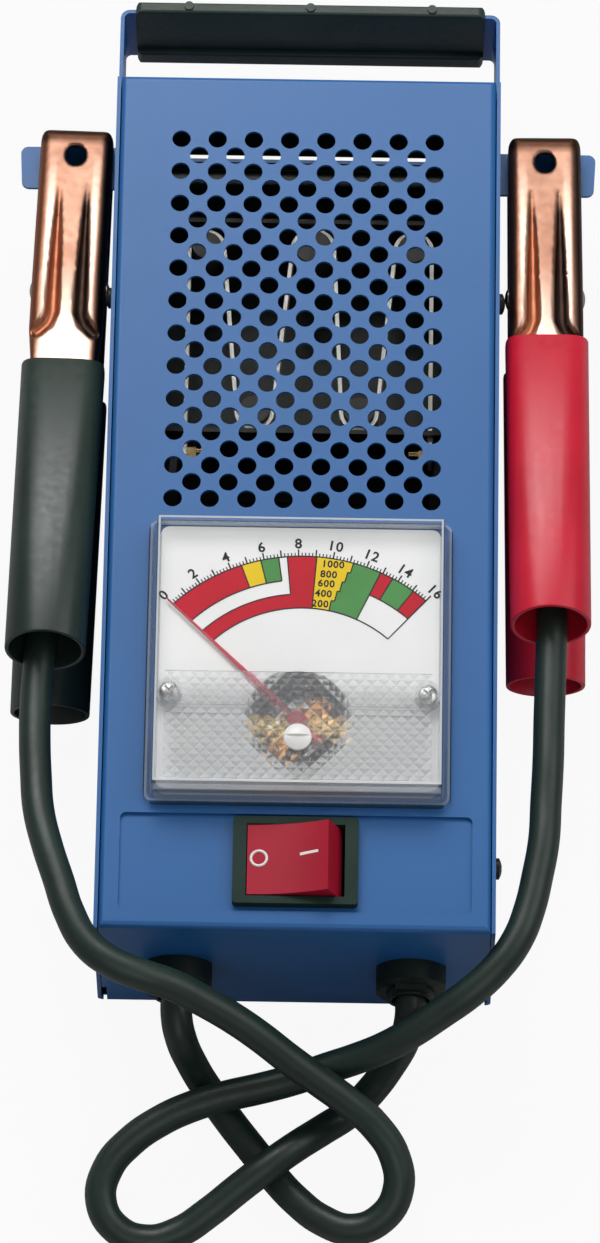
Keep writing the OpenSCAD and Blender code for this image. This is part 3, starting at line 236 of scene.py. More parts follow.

# %% [markdown]
# The leads come first, because they have to fit the room round the case. Each
# is one PVC-sheathed cable, 8 mm thick, that leaves its gland straight, drops
# to the table, loops once and climbs to the clamp parked on the case's side.
# Extruding a circle step by step would leave kinks. A Bezier curve with
# automatic handles passes smoothly through the listed points, and its
# bevel gives the round sheath. The routes run from the clamp to the gland,
# and the curve is drawn the other way, so that it starts at its exit.

# %% Routes of the leads, from the clamp to the gland
LEAD_D = 8
LEAD_STEPS = 6
LEFT_ROUTE = [
    (-63.65, -22, 48.5), (-64.8, -34, 48.6), (-65.7, -46, 48.8),
    (-66.2, -57, 49), (-66.1, -67, 49.5), (-65.5, -77, 50), (-64.5, -87, 51),
    (-62, -97, 52), (-59, -106, 52.5), (-56, -115, 53), (-51.5, -123, 53),
    (-45, -128, 52.5), (-37.5, -130.5, 51), (-30, -132, 48),
    (-22.5, -134.5, 44), (-15, -137.5, 40), (-8, -141, 36),
    (-1, -145, 31.5), (6.5, -149, 27), (14, -153, 22.5), (21, -157.5, 17.5),
    (26, -164, 13), (27, -171.5, 9.5), (23, -178, 6.5), (15.5, -180.5, 4.5),
    (8, -178, 4), (1.5, -173, 4), (-4.5, -166.5, 4), (-10, -159.5, 4.1),
    (-15.5, -152.5, 4.5), (-20.5, -146, 6.6), (-25, -140.5, 12),
    (-28.5, -135, 20.5), (-29.4, -130.5, 23), (-29.4, -125.2, 24)]
RIGHT_ROUTE = [
    (63.7, -22, 48.5), (63.8, -34, 48.5), (63.5, -48, 48.5),
    (63.2, -60, 48.5), (63, -71, 48.5), (62.5, -82, 48), (62, -92, 48),
    (60.5, -101, 47.5), (58.5, -110, 47), (55.5, -118, 46.5),
    (50.5, -125, 45), (44, -130.5, 42), (37, -134.5, 38), (30, -138, 33.5),
    (23, -140.5, 28.5), (16, -142, 24), (8.5, -143.5, 20.5),
    (0.5, -145.5, 17.5), (-8, -147.5, 16), (-16.5, -149.5, 15.5),
    (-25, -152, 14.5), (-33, -155.5, 13), (-40.5, -160.5, 11),
    (-46, -167, 9), (-47.5, -175, 7), (-43.5, -181.5, 5), (-36, -184, 4),
    (-28, -182, 4.5), (-20.5, -177.5, 7), (-13, -172, 10),
    (-6, -167, 12.4), (1, -161.5, 12), (8, -155.5, 8.5), (14.5, -150, 6),
    (20, -144.5, 7.5), (24.5, -139.5, 12), (28, -135, 18.5),
    (29.4, -130.5, 22.8), (29.4, -125.2, 24)]

pvc_black = finish_of("pvc_black", (0.009, 0.021, 0.015), (0.014, 0.031, 0.023),
                      rough=(0.36, 0.46), blotch=35, grain=700, bump=0.12, bump_mm=0.06)


def lead_curve(name, route):
    """A round cable through the route's points, starting at the gland."""
    clear_selection()
    bpy.ops.curve.primitive_bezier_curve_add(location=(0, 0, 0))
    obj = bpy.context.object
    spline = obj.data.splines[0]
    points = list(reversed(route))
    spline.bezier_points.add(len(points) - len(spline.bezier_points))
    for point, place in zip(spline.bezier_points, points):
        point.co = Vector(place) * MM
        point.handle_left_type = point.handle_right_type = "AUTO"
    obj.data.bevel_depth = LEAD_D / 2 * MM
    obj.data.bevel_resolution = obj.data.resolution_u = LEAD_STEPS
    obj.data.use_fill_caps = True
    return obj


def route_length(route):
    return sum((Vector(a) - Vector(b)).length for a, b in zip(route, route[1:])) * MM


for side, route in (("left", LEFT_ROUTE), ("right", RIGHT_ROUTE)):
    lead = lead_curve(side + "_cable", route)
    dress(lead, side + "_cable", "case", "lead_black", pvc_black, side + "_lead")
    route_length(route)
    print(lead.name, "is", round(route_length(route) * 1000), "mm long")

# %% [markdown]
# The room behind the grille gets painted shade: inside the case the coat
# turns nearly black. Two materials on chosen faces would do it too, but a box
# in Object coordinates, just inside the sheet, tells the two apart without
# touching the solid's mesh.

# %% Powder coat on the case
INSIDE_X, INSIDE_Y = 49.02, 117.52
INSIDE_FLOOR, INSIDE_TOP = 0.99, 51.9
INSIDE_SHADE = (0.006, 0.011, 0.010)


def calculator(tree):
    """A short way to wire a Math node: numbers and sockets both go in."""
    def calc(operation, *values):
        step = tree.nodes.new("ShaderNodeMath")
        step.operation = operation
        for socket, value in zip(step.inputs, values):
            if isinstance(value, (int, float)):
                socket.default_value = value
            else:
                tree.links.new(value, socket)
        return step.outputs[0]
    return calc


def object_axes(tree):
    """The place of a point on the piece, one socket for each axis."""
    place = tree.nodes.new("ShaderNodeSeparateXYZ")
    where = tree.nodes.new("ShaderNodeTexCoord").outputs["Object"]
    tree.links.new(where, place.inputs[0])
    return place.outputs


def mix_colour(tree, factor, first, second):
    """Mixes two colours, each of them a socket or a plain colour."""
    blend = tree.nodes.new("ShaderNodeMix")
    blend.data_type = "RGBA"
    tree.links.new(factor, blend.inputs["Factor"])
    colours = [socket for socket in blend.inputs if socket.type == "RGBA"]
    for socket, colour in zip(colours, (first, second)):
        if isinstance(colour, tuple):
            socket.default_value = (*colour, 1)
        else:
            tree.links.new(colour, socket)
    return next(socket for socket in blend.outputs if socket.type == "RGBA")


def colour_so_far(shader):
    """The socket that gives a material its colour up to now."""
    return shader.inputs["Base Color"].links[0].from_socket


powder_blue = finish_of("powder_blue", (0.013, 0.112, 0.335), (0.017, 0.124, 0.365),
                        rough=(0.33, 0.41), blotch=14, grain=1500, bump=0.16, bump_mm=0.05,
                        specular=0.42)


def line_inside(material):
    """Paints shade inside the case: the coat turns nearly black there."""
    tree = material.node_tree
    shader = tree.nodes["Principled BSDF"]
    calc = calculator(tree)
    place = object_axes(tree)
    inside = calc("LESS_THAN", calc("ABSOLUTE", place["X"]), INSIDE_X * MM)
    for limit in (calc("LESS_THAN", calc("ABSOLUTE", place["Y"]), INSIDE_Y * MM),
                  calc("LESS_THAN", place["Z"], INSIDE_TOP * MM),
                  calc("GREATER_THAN", place["Z"], INSIDE_FLOOR * MM)):
        inside = calc("MULTIPLY", inside, limit)
    # Painted shade: the coat is nearly black inside the case, where little light reaches.
    colour = mix_colour(tree, inside, colour_so_far(shader), INSIDE_SHADE)
    tree.links.new(colour, shader.inputs["Base Color"])


line_inside(powder_blue)
print("powder coat made")

# %% [markdown]
# The grip, bezel, glands, rocker, adjuster and the meter's own body are
# moulded plastics. One recipe serves them all, because plastics differ mostly
# in colour, gloss and grain: the grip is matt with a spark-eroded grain, the
# glands are a little shinier, and the dial's paint is nearly flat.

# %% Plastics
grip_black = finish_of("grip_black", (0.011, 0.026, 0.018), (0.018, 0.036, 0.026),
                       rough=(0.42, 0.55), blotch=50, grain=1400, bump=0.25, bump_mm=0.05)
gland_black = finish_of("gland_black", (0.005, 0.011, 0.009), (0.009, 0.017, 0.014),
                        rough=(0.35, 0.45), blotch=80, grain=1600, bump=0.1, bump_mm=0.04,
                        specular=0.3)
bezel_black = finish_of("bezel_black", (0.009, 0.026, 0.019), (0.014, 0.036, 0.027),
                        rough=(0.45, 0.55), blotch=80, grain=1800, bump=0.15, bump_mm=0.04,
                        specular=0.18)
base_white = finish_of("base_white", (0.90, 0.90, 0.89), (0.94, 0.94, 0.93),
                       rough=(0.45, 0.55), blotch=70, grain=1500, bump=0.05, bump_mm=0.03)
dial_paint = finish_of("dial_paint", (0.88, 0.88, 0.87), (0.92, 0.92, 0.91),
                       rough=(0.5, 0.58), blotch=40, grain=2000, bump=0.03, bump_mm=0.02,
                       specular=0.15)
rocker_red = finish_of("rocker_red", (0.37, 0.008, 0.026), (0.42, 0.010, 0.032),
                       rough=(0.38, 0.46), blotch=60, grain=1600, bump=0.06, bump_mm=0.03,
                       specular=0.22)
knob_white = finish_of("knob_white", (0.78, 0.78, 0.76), (0.84, 0.84, 0.82),
                       rough=(0.28, 0.36), blotch=90, grain=1500)
dark_ceramic = finish_of("dark_ceramic", (0.030, 0.028, 0.026), (0.05, 0.046, 0.042),
                         rough=(0.3, 0.45), blotch=90, grain=800)
wire_black = finish_of("wire_black", (0.012, 0.013, 0.013), (0.020, 0.022, 0.021),
                       rough=(0.4, 0.5), blotch=60, grain=900)
print("plastics made")

# %% [markdown]
# Metals get their look from what they reflect, so the recipe's metal share is
# high and its roughness is what tells them apart. The case's screws are
# blackened, the rivets and springs are bare steel, the meter's works are
# brass, iron and copper, and the load is a pale resistance alloy whose dull
# surface reflects little, so it counts as metal only in part.

# %% Metals
black_steel = finish_of("black_steel", (0.012, 0.012, 0.013), (0.02, 0.02, 0.022),
                        rough=(0.35, 0.5), metal=0.6, blotch=90, grain=900)
zinc_steel = finish_of("zinc_steel", (0.50, 0.50, 0.49), (0.66, 0.66, 0.64),
                       rough=(0.22, 0.36), metal=1.0, blotch=120, grain=1200)
rivet_steel = finish_of("rivet_steel", (0.30, 0.26, 0.22), (0.52, 0.44, 0.36),
                        rough=(0.28, 0.42), metal=1.0, blotch=180, grain=1200)
ribbon_alloy = finish_of("ribbon_alloy", (0.86, 0.84, 0.78), (0.95, 0.93, 0.88),
                         rough=(0.35, 0.45), metal=0.45, blotch=80, grain=900)
bracket_black = finish_of("bracket_black", (0.020, 0.020, 0.020), (0.034, 0.034, 0.033),
                          rough=(0.3, 0.45), metal=0.5, blotch=70, grain=900)
spring_steel = finish_of("spring_steel", (0.30, 0.30, 0.31), (0.42, 0.42, 0.43),
                         rough=(0.25, 0.35), metal=1.0, blotch=120, grain=900)
brass = finish_of("brass", (0.62, 0.43, 0.16), (0.78, 0.58, 0.28),
                  rough=(0.2, 0.32), metal=1.0, blotch=120, grain=900)
coil_copper = finish_of("coil_copper", (0.52, 0.22, 0.07), (0.72, 0.36, 0.14),
                        rough=(0.25, 0.4), metal=1.0, blotch=200, grain=1500)
magnet_grey = finish_of("magnet_grey", (0.10, 0.105, 0.115), (0.16, 0.165, 0.175),
                        rough=(0.35, 0.5), metal=0.8, blotch=120, grain=900)
core_steel = finish_of("core_steel", (0.48, 0.48, 0.48), (0.62, 0.62, 0.62),
                       rough=(0.2, 0.3), metal=1.0, blotch=120, grain=900)
needle_red = finish_of("needle_red", (0.50, 0.006, 0.03), (0.56, 0.008, 0.04),
                       rough=(0.35, 0.45), blotch=90, grain=900)
print("metals made")

# %% [markdown]
# The meter's cover is clear polystyrene. Thin walls hardly bend the light, so
# real refraction there only costs time: alpha lets the light straight through
# and keeps the gloss. The walls stay a little milky, and thin rings round the
# face paint light and shade: a painted highlight on its fold, a painted dark
# edge beside it and a painted dark outer rim.
# Its lower part has a field of small pyramids on the inside that hides the
# works behind it. That sheet does bend the light, and the lower facets of
# each pyramid, nearer to the case's foot, get a painted shade, a little darker.

# %% Two finishes for the clear cover
METER_Y = -47.4
FACE_HALF = 35.6
FACE_Z = 62.2
COVER_BLOTCH = 40
WALL_TINTS = (0.74, 0.82, 0.90), (0.82, 0.88, 0.94)
WALL_ALPHA, FACE_ALPHA = 0.22, 0.02
WALL_ROUGH, WALL_IOR = 0.03, 1.49
LIGHT_LINE, PAINTED_HIGHLIGHT_TINT = (35.5, 36.0), (0.85, 0.88, 0.9)
DARK_LINE, PAINTED_EDGE_SHADE = (36.0, 36.3), (0.03, 0.05, 0.06)
RIM_LINE = 38.2
LINE_ALPHA = 0.6

FIELD_TOP = -53.5
FIELD_FOOT = -82.4
FIELD_HALF_W = 34.9
PYRAMID_W, PYRAMID_H, PYRAMID_DEEP = 3.05, 3.2, 0.6
FIELD_SHIFT = 1
FACET_BLEND = 0.02
SHEET_TINTS = (0.97, 0.985, 1.0), (1.0, 1.0, 1.0)
LOWER_FACET_SHADE = (0.84, 0.85, 0.86)
SHEET_ALPHA, SHEET_CLEAR = 0.78, 0.9
SHEET_ROUGH, SHEET_GLOSS, SHEET_IOR = 0.02, 0.3, 1.4


def clear_walls():
    """Clear through the front face and a little milky in the walls, with a painted highlight
    and painted shade in rings round the face.
    """
    material, tree, shader = tree_of("clear_walls")
    calc = calculator(tree)
    place = object_axes(tree)
    off_y = calc("ABSOLUTE", calc("SUBTRACT", place["Y"], METER_Y * MM))
    far = calc("MAXIMUM", calc("ABSOLUTE", place["X"]), off_y)
    face = calc("MULTIPLY", calc("LESS_THAN", far, FACE_HALF * MM),
                calc("GREATER_THAN", place["Z"], FACE_Z * MM))

    def ring(inner, outer):
        return calc("MULTIPLY", calc("GREATER_THAN", far, inner * MM),
                    calc("LESS_THAN", far, outer * MM))

    # Painted highlight on the face's fold, and painted shade on the edge beside it and on the
    # outer rim.
    light = ring(*LIGHT_LINE)
    dark = calc("MAXIMUM", ring(*DARK_LINE), calc("GREATER_THAN", far, RIM_LINE * MM))
    tint = two_tone(tree, noise(tree, COVER_BLOTCH), *WALL_TINTS)
    tint = mix_colour(tree, light, tint, PAINTED_HIGHLIGHT_TINT)
    tint = mix_colour(tree, dark, tint, PAINTED_EDGE_SHADE)
    tree.links.new(tint, shader.inputs["Base Color"])
    lines = calc("MULTIPLY", calc("MAXIMUM", light, dark), LINE_ALPHA)
    alpha = calc("MAXIMUM", spread(tree, face, WALL_ALPHA, FACE_ALPHA), lines)
    tree.links.new(alpha, shader.inputs["Alpha"])
    shader.inputs["Roughness"].default_value = WALL_ROUGH
    shader.inputs["IOR"].default_value = WALL_IOR
    return material


def clear_sheet():
    """Bends the light. The ridges' own axes, a and b, tell the facets apart, and the lower
    facets get a painted shade.
    """
    material, tree, shader = tree_of("clear_sheet")
    calc = calculator(tree)
    place = object_axes(tree)
    u = calc("DIVIDE", place["X"], PYRAMID_W / 2 * MM)
    v = calc("DIVIDE", calc("SUBTRACT", FIELD_TOP * MM, place["Y"]), PYRAMID_H / 2 * MM)
    a = calc("MULTIPLY", calc("ADD", calc("ADD", u, v), FIELD_SHIFT), 0.5)
    b = calc("MULTIPLY", calc("ADD", calc("SUBTRACT", u, v), FIELD_SHIFT), 0.5)
    rise = calc("SUBTRACT", calc("SUBTRACT", a, calc("ROUND", a)),
                calc("SUBTRACT", b, calc("ROUND", b)))
    # Painted shade: the lower facet of each pyramid, nearer to the case's foot, is tinted
    # darker.
    lower = spread(tree, rise, 0.0, 1.0, -FACET_BLEND, FACET_BLEND)
    tint = two_tone(tree, noise(tree, COVER_BLOTCH), *SHEET_TINTS)
    tint = mix_colour(tree, lower, tint, LOWER_FACET_SHADE)
    tree.links.new(tint, shader.inputs["Base Color"])
    for socket, value in (("Roughness", SHEET_ROUGH), ("Specular IOR Level", SHEET_GLOSS),
                          ("IOR", SHEET_IOR), ("Transmission Weight", SHEET_CLEAR),
                          ("Alpha", SHEET_ALPHA)):
        shader.inputs[socket].default_value = value
    return material


clear = clear_walls()
clear_bending = clear_sheet()
print("clear plastic made")

# %% [markdown]
# The field is one sheet behind the cover's face, with rows of pyramids pressed
# into its inner side. Copying one pyramid hundreds of times would leave seams
# between the copies. A grid is raised instead: every second corner stays
# level and the others point inward, and each cell is split along its ridge.
# Round the screws and the adjuster the sheet stays flat, to leave them room.

# %% Model the field of pyramids
SHEET_TOP = 62.9
SHEET_FLOOR = 62.35
SCREWS = ((-32.4, -58.5), (32.4, -58.5))
ADJUSTER = (0, -71.5)
CLEAR_ROUND = 4.3
LEVEL_SLACK = 0.01


def pyramid_field():
    """A grid of crossed ridges: corners stay level and middles point inward."""
    columns = int(2 * FIELD_HALF_W / PYRAMID_W)
    rows = int((FIELD_TOP - FIELD_FOOT) / PYRAMID_H)
    clear_selection()
    bpy.ops.mesh.primitive_grid_add(x_subdivisions=2 * columns, y_subdivisions=2 * rows, size=1,
                                    location=(0, 0, 0))
    obj = bpy.context.object
    bpy.ops.object.mode_set(mode="EDIT")
    bm = bmesh.from_edit_mesh(obj.data)
    for v in bm.verts:
        i = round((v.co.x + 0.5) * 2 * columns)
        k = round((v.co.y + 0.5) * 2 * rows)
        x = (i - columns) * PYRAMID_W / 2
        y = FIELD_TOP - (2 * rows - k) * PYRAMID_H / 2
        edge = i in (0, 2 * columns) or k in (0, 2 * rows)
        near = min(math.hypot(x - q[0], y - q[1]) for q in SCREWS + (ADJUSTER,)) < CLEAR_ROUND
        level = edge or near or (i + k) % 2 == 0
        v.co = Vector((x, y, SHEET_FLOOR - (0 if level else PYRAMID_DEEP))) * MM
    level_z = (SHEET_FLOOR - LEVEL_SLACK) * MM
    for f in list(bm.faces):
        ends = [v for v in f.verts if v.co.z > level_z]
        if len(ends) > 2:
            ends = [f.verts[0], f.verts[2]]
        bmesh.utils.face_split(f, ends[0], ends[1])
    bmesh.update_edit_mesh(obj.data)
    bpy.ops.mesh.select_all(action="SELECT")
    bpy.ops.mesh.extrude_region_move(TRANSFORM_OT_translate={"value": (0, 0, 0)})
    bm = bmesh.from_edit_mesh(obj.data)
    for v in bm.verts:
        if v.select:
            v.co.z = SHEET_TOP * MM
    bmesh.update_edit_mesh(obj.data)
    bpy.ops.mesh.select_all(action="SELECT")
    bpy.ops.mesh.normals_make_consistent(inside=False)
    bpy.ops.object.mode_set(mode="OBJECT")
    return obj


pyramids = pyramid_field()
dress(pyramids, "cover_pyramids", "case", "clear_cover", clear_bending)
print("pyramid sheet faces:", len(pyramids.data.polygons))

# %% [markdown]
# Every solid that keeps its own mesh now gets its finish. Their shapes are
# right as they are, so remaking them would only risk a poor fit. A table of
# nodes and finishes keeps it plain which piece is made of what.

# %% Finishes on the solids
NODE_FINISH = {
    "front_cover": powder_blue, "rear_shell": powder_blue,
    "handle_grip": grip_black, "case_screws": black_steel,
    "left_gland": gland_black, "right_gland": gland_black,
    "meter_base": base_white, "meter_cover": clear, "meter_screws": zinc_steel,
    "dial_plate": dial_paint, "magnet_ring": magnet_grey, "meter_core": core_steel,
    "meter_bridge": brass, "hairspring": brass, "moving_coil": coil_copper,
    "zero_adjuster": knob_white, "meter_terminals": brass, "switch_body": bezel_black,
    "switch_rocker": rocker_red, "switch_terminals": brass,
    "load_ribbon": ribbon_alloy, "ribbon_insulators": dark_ceramic,
    "ribbon_brackets": bracket_black, "ribbon_terminals": brass,
    "inner_wires": wire_black,
}
for side in ("left", "right"):
    NODE_FINISH[side + "_pivot_pin"] = rivet_steel
    NODE_FINISH[side + "_cable_lug"] = coil_copper
for node_name, material in NODE_FINISH.items():
    mesh = nodes[node_name].data
    mesh.materials.clear()
    mesh.materials.append(material)
print("finished solids:", len(NODE_FINISH))

# %% [markdown]
# The clamps are steel with a thin copper plating. Light and shade are painted
# into it: a painted highlight in bands along the ridges beside the flutes and
# on the neck, painted shade in the two flutes and along the edges, brown on the
# left and nearly black on the right, and painted shade at the nose. Painting
# those zones by hand would need an unwrapped mesh for each jaw. Here they are
# bands in the clamp's own frame, which its pivot and its lean give, so one
# function serves both clamps.

# %% Copper plating, with painted highlights on the back and painted shade in its recesses
PIVOT = {"left": Vector((-61.5, 65.5, 32)), "right": Vector((62.3, 65.5, 32))}
LEAN = {"left": -1.34, "right": 0.65}
BRIGHT = (0.24, 0.122, 0.082), (0.32, 0.175, 0.122)
# The pale colour is a painted highlight; the brown, dark and nose colours are painted shade.
PAINTED_HIGHLIGHT = (0.62, 0.45, 0.36)
SHADE_BROWN = (0.30, 0.105, 0.055)
DARK = (0.030, 0.018, 0.014)
NOSE = (0.070, 0.032, 0.020)

FLUTE_X = 3.6
FLUTE_Y = (-16, 27)
FLUTE_HALF_W = (0.6, 2.3)
FLUTE_SOFT = 0.4
HOOK_OUT, HOOK_REACH = 4.2, 3
FLUTE_START = (FLUTE_Y[0] - 4, FLUTE_Y[0] - 2.5)
FLUTE_END = (FLUTE_Y[1] - 7, FLUTE_Y[1])
EDGE_X = (6.9, 8.4)
NOSE_Y = (38.4, 40.6)
GLEAM_IN, GLEAM_OUT = (4.4, 5.2), (6.2, 7.0)
GLEAM_Y = (16, 36)
GLEAM_SHARE = 0.9
NECK_Y, NECK_X = (-16, 4), (3.5, 8)


def copper_for(side):
    """The painted highlight and shade zones in the clamp's own frame: x across it, y towards
    its nose.
    """
    material = finish_of("copper_" + side, *BRIGHT, rough=(0.36, 0.44), metal=1.0, blotch=70,
                         grain=500, bump=0.06, bump_mm=0.04)
    tree = material.node_tree
    shader = tree.nodes["Principled BSDF"]
    calc = calculator(tree)
    place = object_axes(tree)

    def rise(source, ends):
        return spread(tree, source, 0.0, 1.0, ends[0] * MM, ends[1] * MM)

    def fall(source, ends):
        return spread(tree, source, 1.0, 0.0, ends[0] * MM, ends[1] * MM)

    lean = math.radians(LEAN[side])
    dx = calc("SUBTRACT", place["X"], PIVOT[side].x * MM)
    dy = calc("SUBTRACT", place["Y"], PIVOT[side].y * MM)
    x = calc("ADD", calc("MULTIPLY", dx, math.cos(lean)),
             calc("MULTIPLY", dy, math.sin(lean)))
    y = calc("SUBTRACT", calc("MULTIPLY", dy, math.cos(lean)),
             calc("MULTIPLY", dx, math.sin(lean)))
    far = calc("ABSOLUTE", x)

    # Painted shade in the flutes and along the edges, brown on the left and nearly black on the
    # right.
    half = spread(tree, fall(y, FLUTE_Y), FLUTE_HALF_W[0] * MM, FLUTE_HALF_W[1] * MM)
    hook = spread(tree, y, HOOK_OUT * MM, 0.0, (FLUTE_Y[0] - HOOK_REACH) * MM,
                  (FLUTE_Y[0] + HOOK_REACH) * MM)
    off = calc("ABSOLUTE", calc("SUBTRACT", calc("SUBTRACT", far, hook), FLUTE_X * MM))
    depth = calc("SUBTRACT", 1.0, calc("DIVIDE", off, half))
    groove = spread(tree, depth, 0.0, 1.0, 0.0, FLUTE_SOFT)
    groove = calc("MULTIPLY", groove, rise(y, FLUTE_START))
    groove = calc("MULTIPLY", groove, fall(y, FLUTE_END))
    painted_shade_zones = calc("MAXIMUM", groove, rise(far, EDGE_X))
    shade = mix_colour(tree, calc("GREATER_THAN", x, 0.0), SHADE_BROWN, DARK)

    # Painted highlight: pale bands along the ridges beside the flutes, and on the neck.
    band = calc("MULTIPLY", rise(far, GLEAM_IN), fall(far, GLEAM_OUT))
    band = calc("MULTIPLY", band, fall(y, GLEAM_Y))
    neck = calc("MULTIPLY", fall(y, NECK_Y), fall(far, NECK_X))
    painted_highlight_mask = calc("MAXIMUM", calc("MULTIPLY", band, GLEAM_SHARE), neck)
    bright = mix_colour(tree, painted_highlight_mask, colour_so_far(shader), PAINTED_HIGHLIGHT)
    back = mix_colour(tree, painted_shade_zones, bright, shade)
    # Painted shade at the nose.
    colour = mix_colour(tree, rise(y, NOSE_Y), back, NOSE)
    tree.links.new(colour, shader.inputs["Base Color"])
    return material


copper = {"left": copper_for("left"), "right": copper_for("right")}
print("copper made")

# %% [markdown]
# The jaws are pressed from sheet, so no edge on them is sharp. A bevel would
# trip over the many small faces at the teeth. Each jaw is a copy of its solid
# instead, rebuilt from small cells and relaxed, which rounds every edge alike
# and lets the pressed flutes run softly into the back. Half of the faces are
# then merged away, because flat stretches don't need them.

# %% Soften the pressed jaws
CELL = 0.42
RELAX = 14
RELAX_FORCE = 0.5
KEEP_FACES = 0.5


def pressed_copy(node, name):
    obj = link_new(name, nodes[node].data.copy())
    cells = obj.modifiers.new("cells", "REMESH")
    cells.mode = "VOXEL"
    cells.voxel_size = CELL * MM
    relax = obj.modifiers.new("relax", "SMOOTH")
    relax.factor = RELAX_FORCE
    relax.iterations = RELAX
    thin = obj.modifiers.new("thin", "DECIMATE")
    thin.ratio = KEEP_FACES
    apply_modifiers(obj)
    smooth(obj, angle=60)
    return obj


for side in ("left", "right"):
    for level, body in (("upper", "case"), ("lower", side + "_lower_arm")):
        jaw = pressed_copy(f"{side}_{level}_jaw", f"{side}_{level}_pressing")
        dress(jaw, f"{side}_{level}_pressing", body, "copper_plate", copper[side],
              f"{side}_{level}_jaw")
        print(jaw.name, "faces:", len(jaw.data.polygons))

# %% [markdown]
# A sleeve is a soft PVC tube pushed over the clamp's steel handle. It is
# squeezed to a rounded rectangle where the channel fills it and springs back
# to a circle at its open mouth. A loft between two outlines would do, but the
# same comes from a plain open cylinder: it is cut into rings, and each ring
# is shaped between those two outlines. Solidify then gives the wall.

# %% Model one sleeve
SLEEVE_L = 83.5
SLEEVE_D = 20.5
SLEEVE_WALL = 1.1
SLEEVE_LIP = 0.3
SLEEVE_SIDES, SLEEVE_RINGS = 40, 15
START_W, START_H = 21.5, 12.6
START_POWER, ROUND_POWER = 4.0, 2.0
ROUND_AT = 0.85


def outline(angle, half_w, half_h, power):
    """A point of a rounded rectangle: power 2 is an ellipse, more is squarer."""
    c, s = math.cos(angle), math.sin(angle)
    return (half_w * math.copysign(abs(c) ** (2 / power), c),
            half_h * math.copysign(abs(s) ** (2 / power), s))


def model_sleeve():
    clear_selection()
    bpy.ops.mesh.primitive_cylinder_add(vertices=SLEEVE_SIDES, radius=1, depth=1,
                                        end_fill_type="NOTHING", location=(0, 0, 0))
    obj = bpy.context.object
    bpy.ops.object.mode_set(mode="EDIT")
    bm = bmesh.from_edit_mesh(obj.data)
    for e in bm.edges:
        e.select_set(abs(e.verts[0].co.z - e.verts[1].co.z) > 0.5)
    bm.select_flush_mode()
    bmesh.update_edit_mesh(obj.data)
    bpy.ops.mesh.subdivide(number_cuts=SLEEVE_RINGS)
    bm = bmesh.from_edit_mesh(obj.data)
    for v in bm.verts:
        t = v.co.z + 0.5
        u = min(1.0, t / ROUND_AT)
        u = u * u * (3 - 2 * u)
        half_w = (START_W + (SLEEVE_D - START_W) * u) / 2
        half_h = (START_H + (SLEEVE_D - START_H) * u) / 2
        power = START_POWER + (ROUND_POWER - START_POWER) * u
        x, y = outline(math.atan2(v.co.y, v.co.x), half_w, half_h, power)
        v.co = Vector((x * MM, y * MM, t * SLEEVE_L * MM))
    bmesh.update_edit_mesh(obj.data)
    bpy.ops.mesh.select_all(action="SELECT")
    bpy.ops.mesh.normals_make_consistent(inside=False)
    bpy.ops.object.mode_set(mode="OBJECT")
    wall = obj.modifiers.new("wall", "SOLIDIFY")
    wall.thickness = SLEEVE_WALL * MM
    wall.offset = -1
    lip = obj.modifiers.new("lip", "BEVEL")
    lip.width = SLEEVE_LIP * MM
    lip.segments = 2
    lip.limit_method = "ANGLE"
    lip.angle_limit = math.radians(50)
    apply_modifiers(obj)
    smooth(obj, angle=40)
    return obj


sleeve_model = model_sleeve()
print("sleeve faces:", len(sleeve_model.data.polygons))

# %% [markdown]
# The same sleeve sits on all four handles, so it is modelled once and copied,
# each copy with its own mesh. The upper ones ride with the case, because the
# clamps are parked on it, and the lower ones with the arm that opens. The
# lower sleeve is the upper one mirrored, and a mirror turns a shape inside
# out, so its faces are flipped back. Black is on the left and red on the right.

# %% Put the four sleeves on the handles
SLEEVE_START = {"left": 27.5, "right": 18}
SLEEVE_TILT = 7.5
SLEEVE_Z0 = 10.6
sleeve_black = finish_of("sleeve_black", (0.012, 0.024, 0.018), (0.018, 0.034, 0.026),
                         rough=(0.3, 0.4), blotch=30, grain=500, bump=0.1, bump_mm=0.08)
sleeve_red = finish_of("sleeve_red", (0.55, 0.008, 0.028), (0.66, 0.012, 0.04),
                       rough=(0.28, 0.38), blotch=30, grain=500, bump=0.1, bump_mm=0.08)


def clamp_place(side):
    """The clamp's own frame: pivot at the origin, nose along +Y."""
    return (Matrix.Translation(PIVOT[side] * MM)
            @ Matrix.Rotation(math.radians(LEAN[side]), 4, "Z"))


def copy_of(obj):
    only(obj)
    bpy.ops.object.duplicate()
    return bpy.context.object


for side, material in (("left", sleeve_black), ("right", sleeve_red)):
    start = SLEEVE_START[side]
    further = start - SLEEVE_START["left"]
    z0 = SLEEVE_Z0 + further * math.tan(math.radians(SLEEVE_TILT))
    pose = (Matrix.Translation(Vector((0, -start, z0)) * MM)
            @ Matrix.Rotation(math.radians(90 - SLEEVE_TILT), 4, "X"))
    for level, flip in (("upper", Matrix()), ("lower", Matrix.Scale(-1, 4, (0, 0, 1)))):
        sleeve = copy_of(sleeve_model)
        sleeve.matrix_world = clamp_place(side) @ flip @ pose
        settle(sleeve)
        if level == "lower":
            flip_faces()
        body = "case" if level == "upper" else side + "_lower_arm"
        slot = "sleeve_black" if side == "left" else "sleeve_red"
        dress(sleeve, f"{side}_{level}_cover", body, slot, material, f"{side}_{level}_sleeve")
        print(sleeve.name, "measures", [round(d / MM, 1) for d in sleeve.dimensions], "mm")
bpy.data.objects.remove(sleeve_model)

# %% [markdown]
# Each clamp has a torsion spring round its pin, with one leg under each arm.
# A Screw modifier could wind the coil, but the two legs would then have to be
# joined on. A curve draws both at once: a helix worked out by a loop, between
# two straight legs.

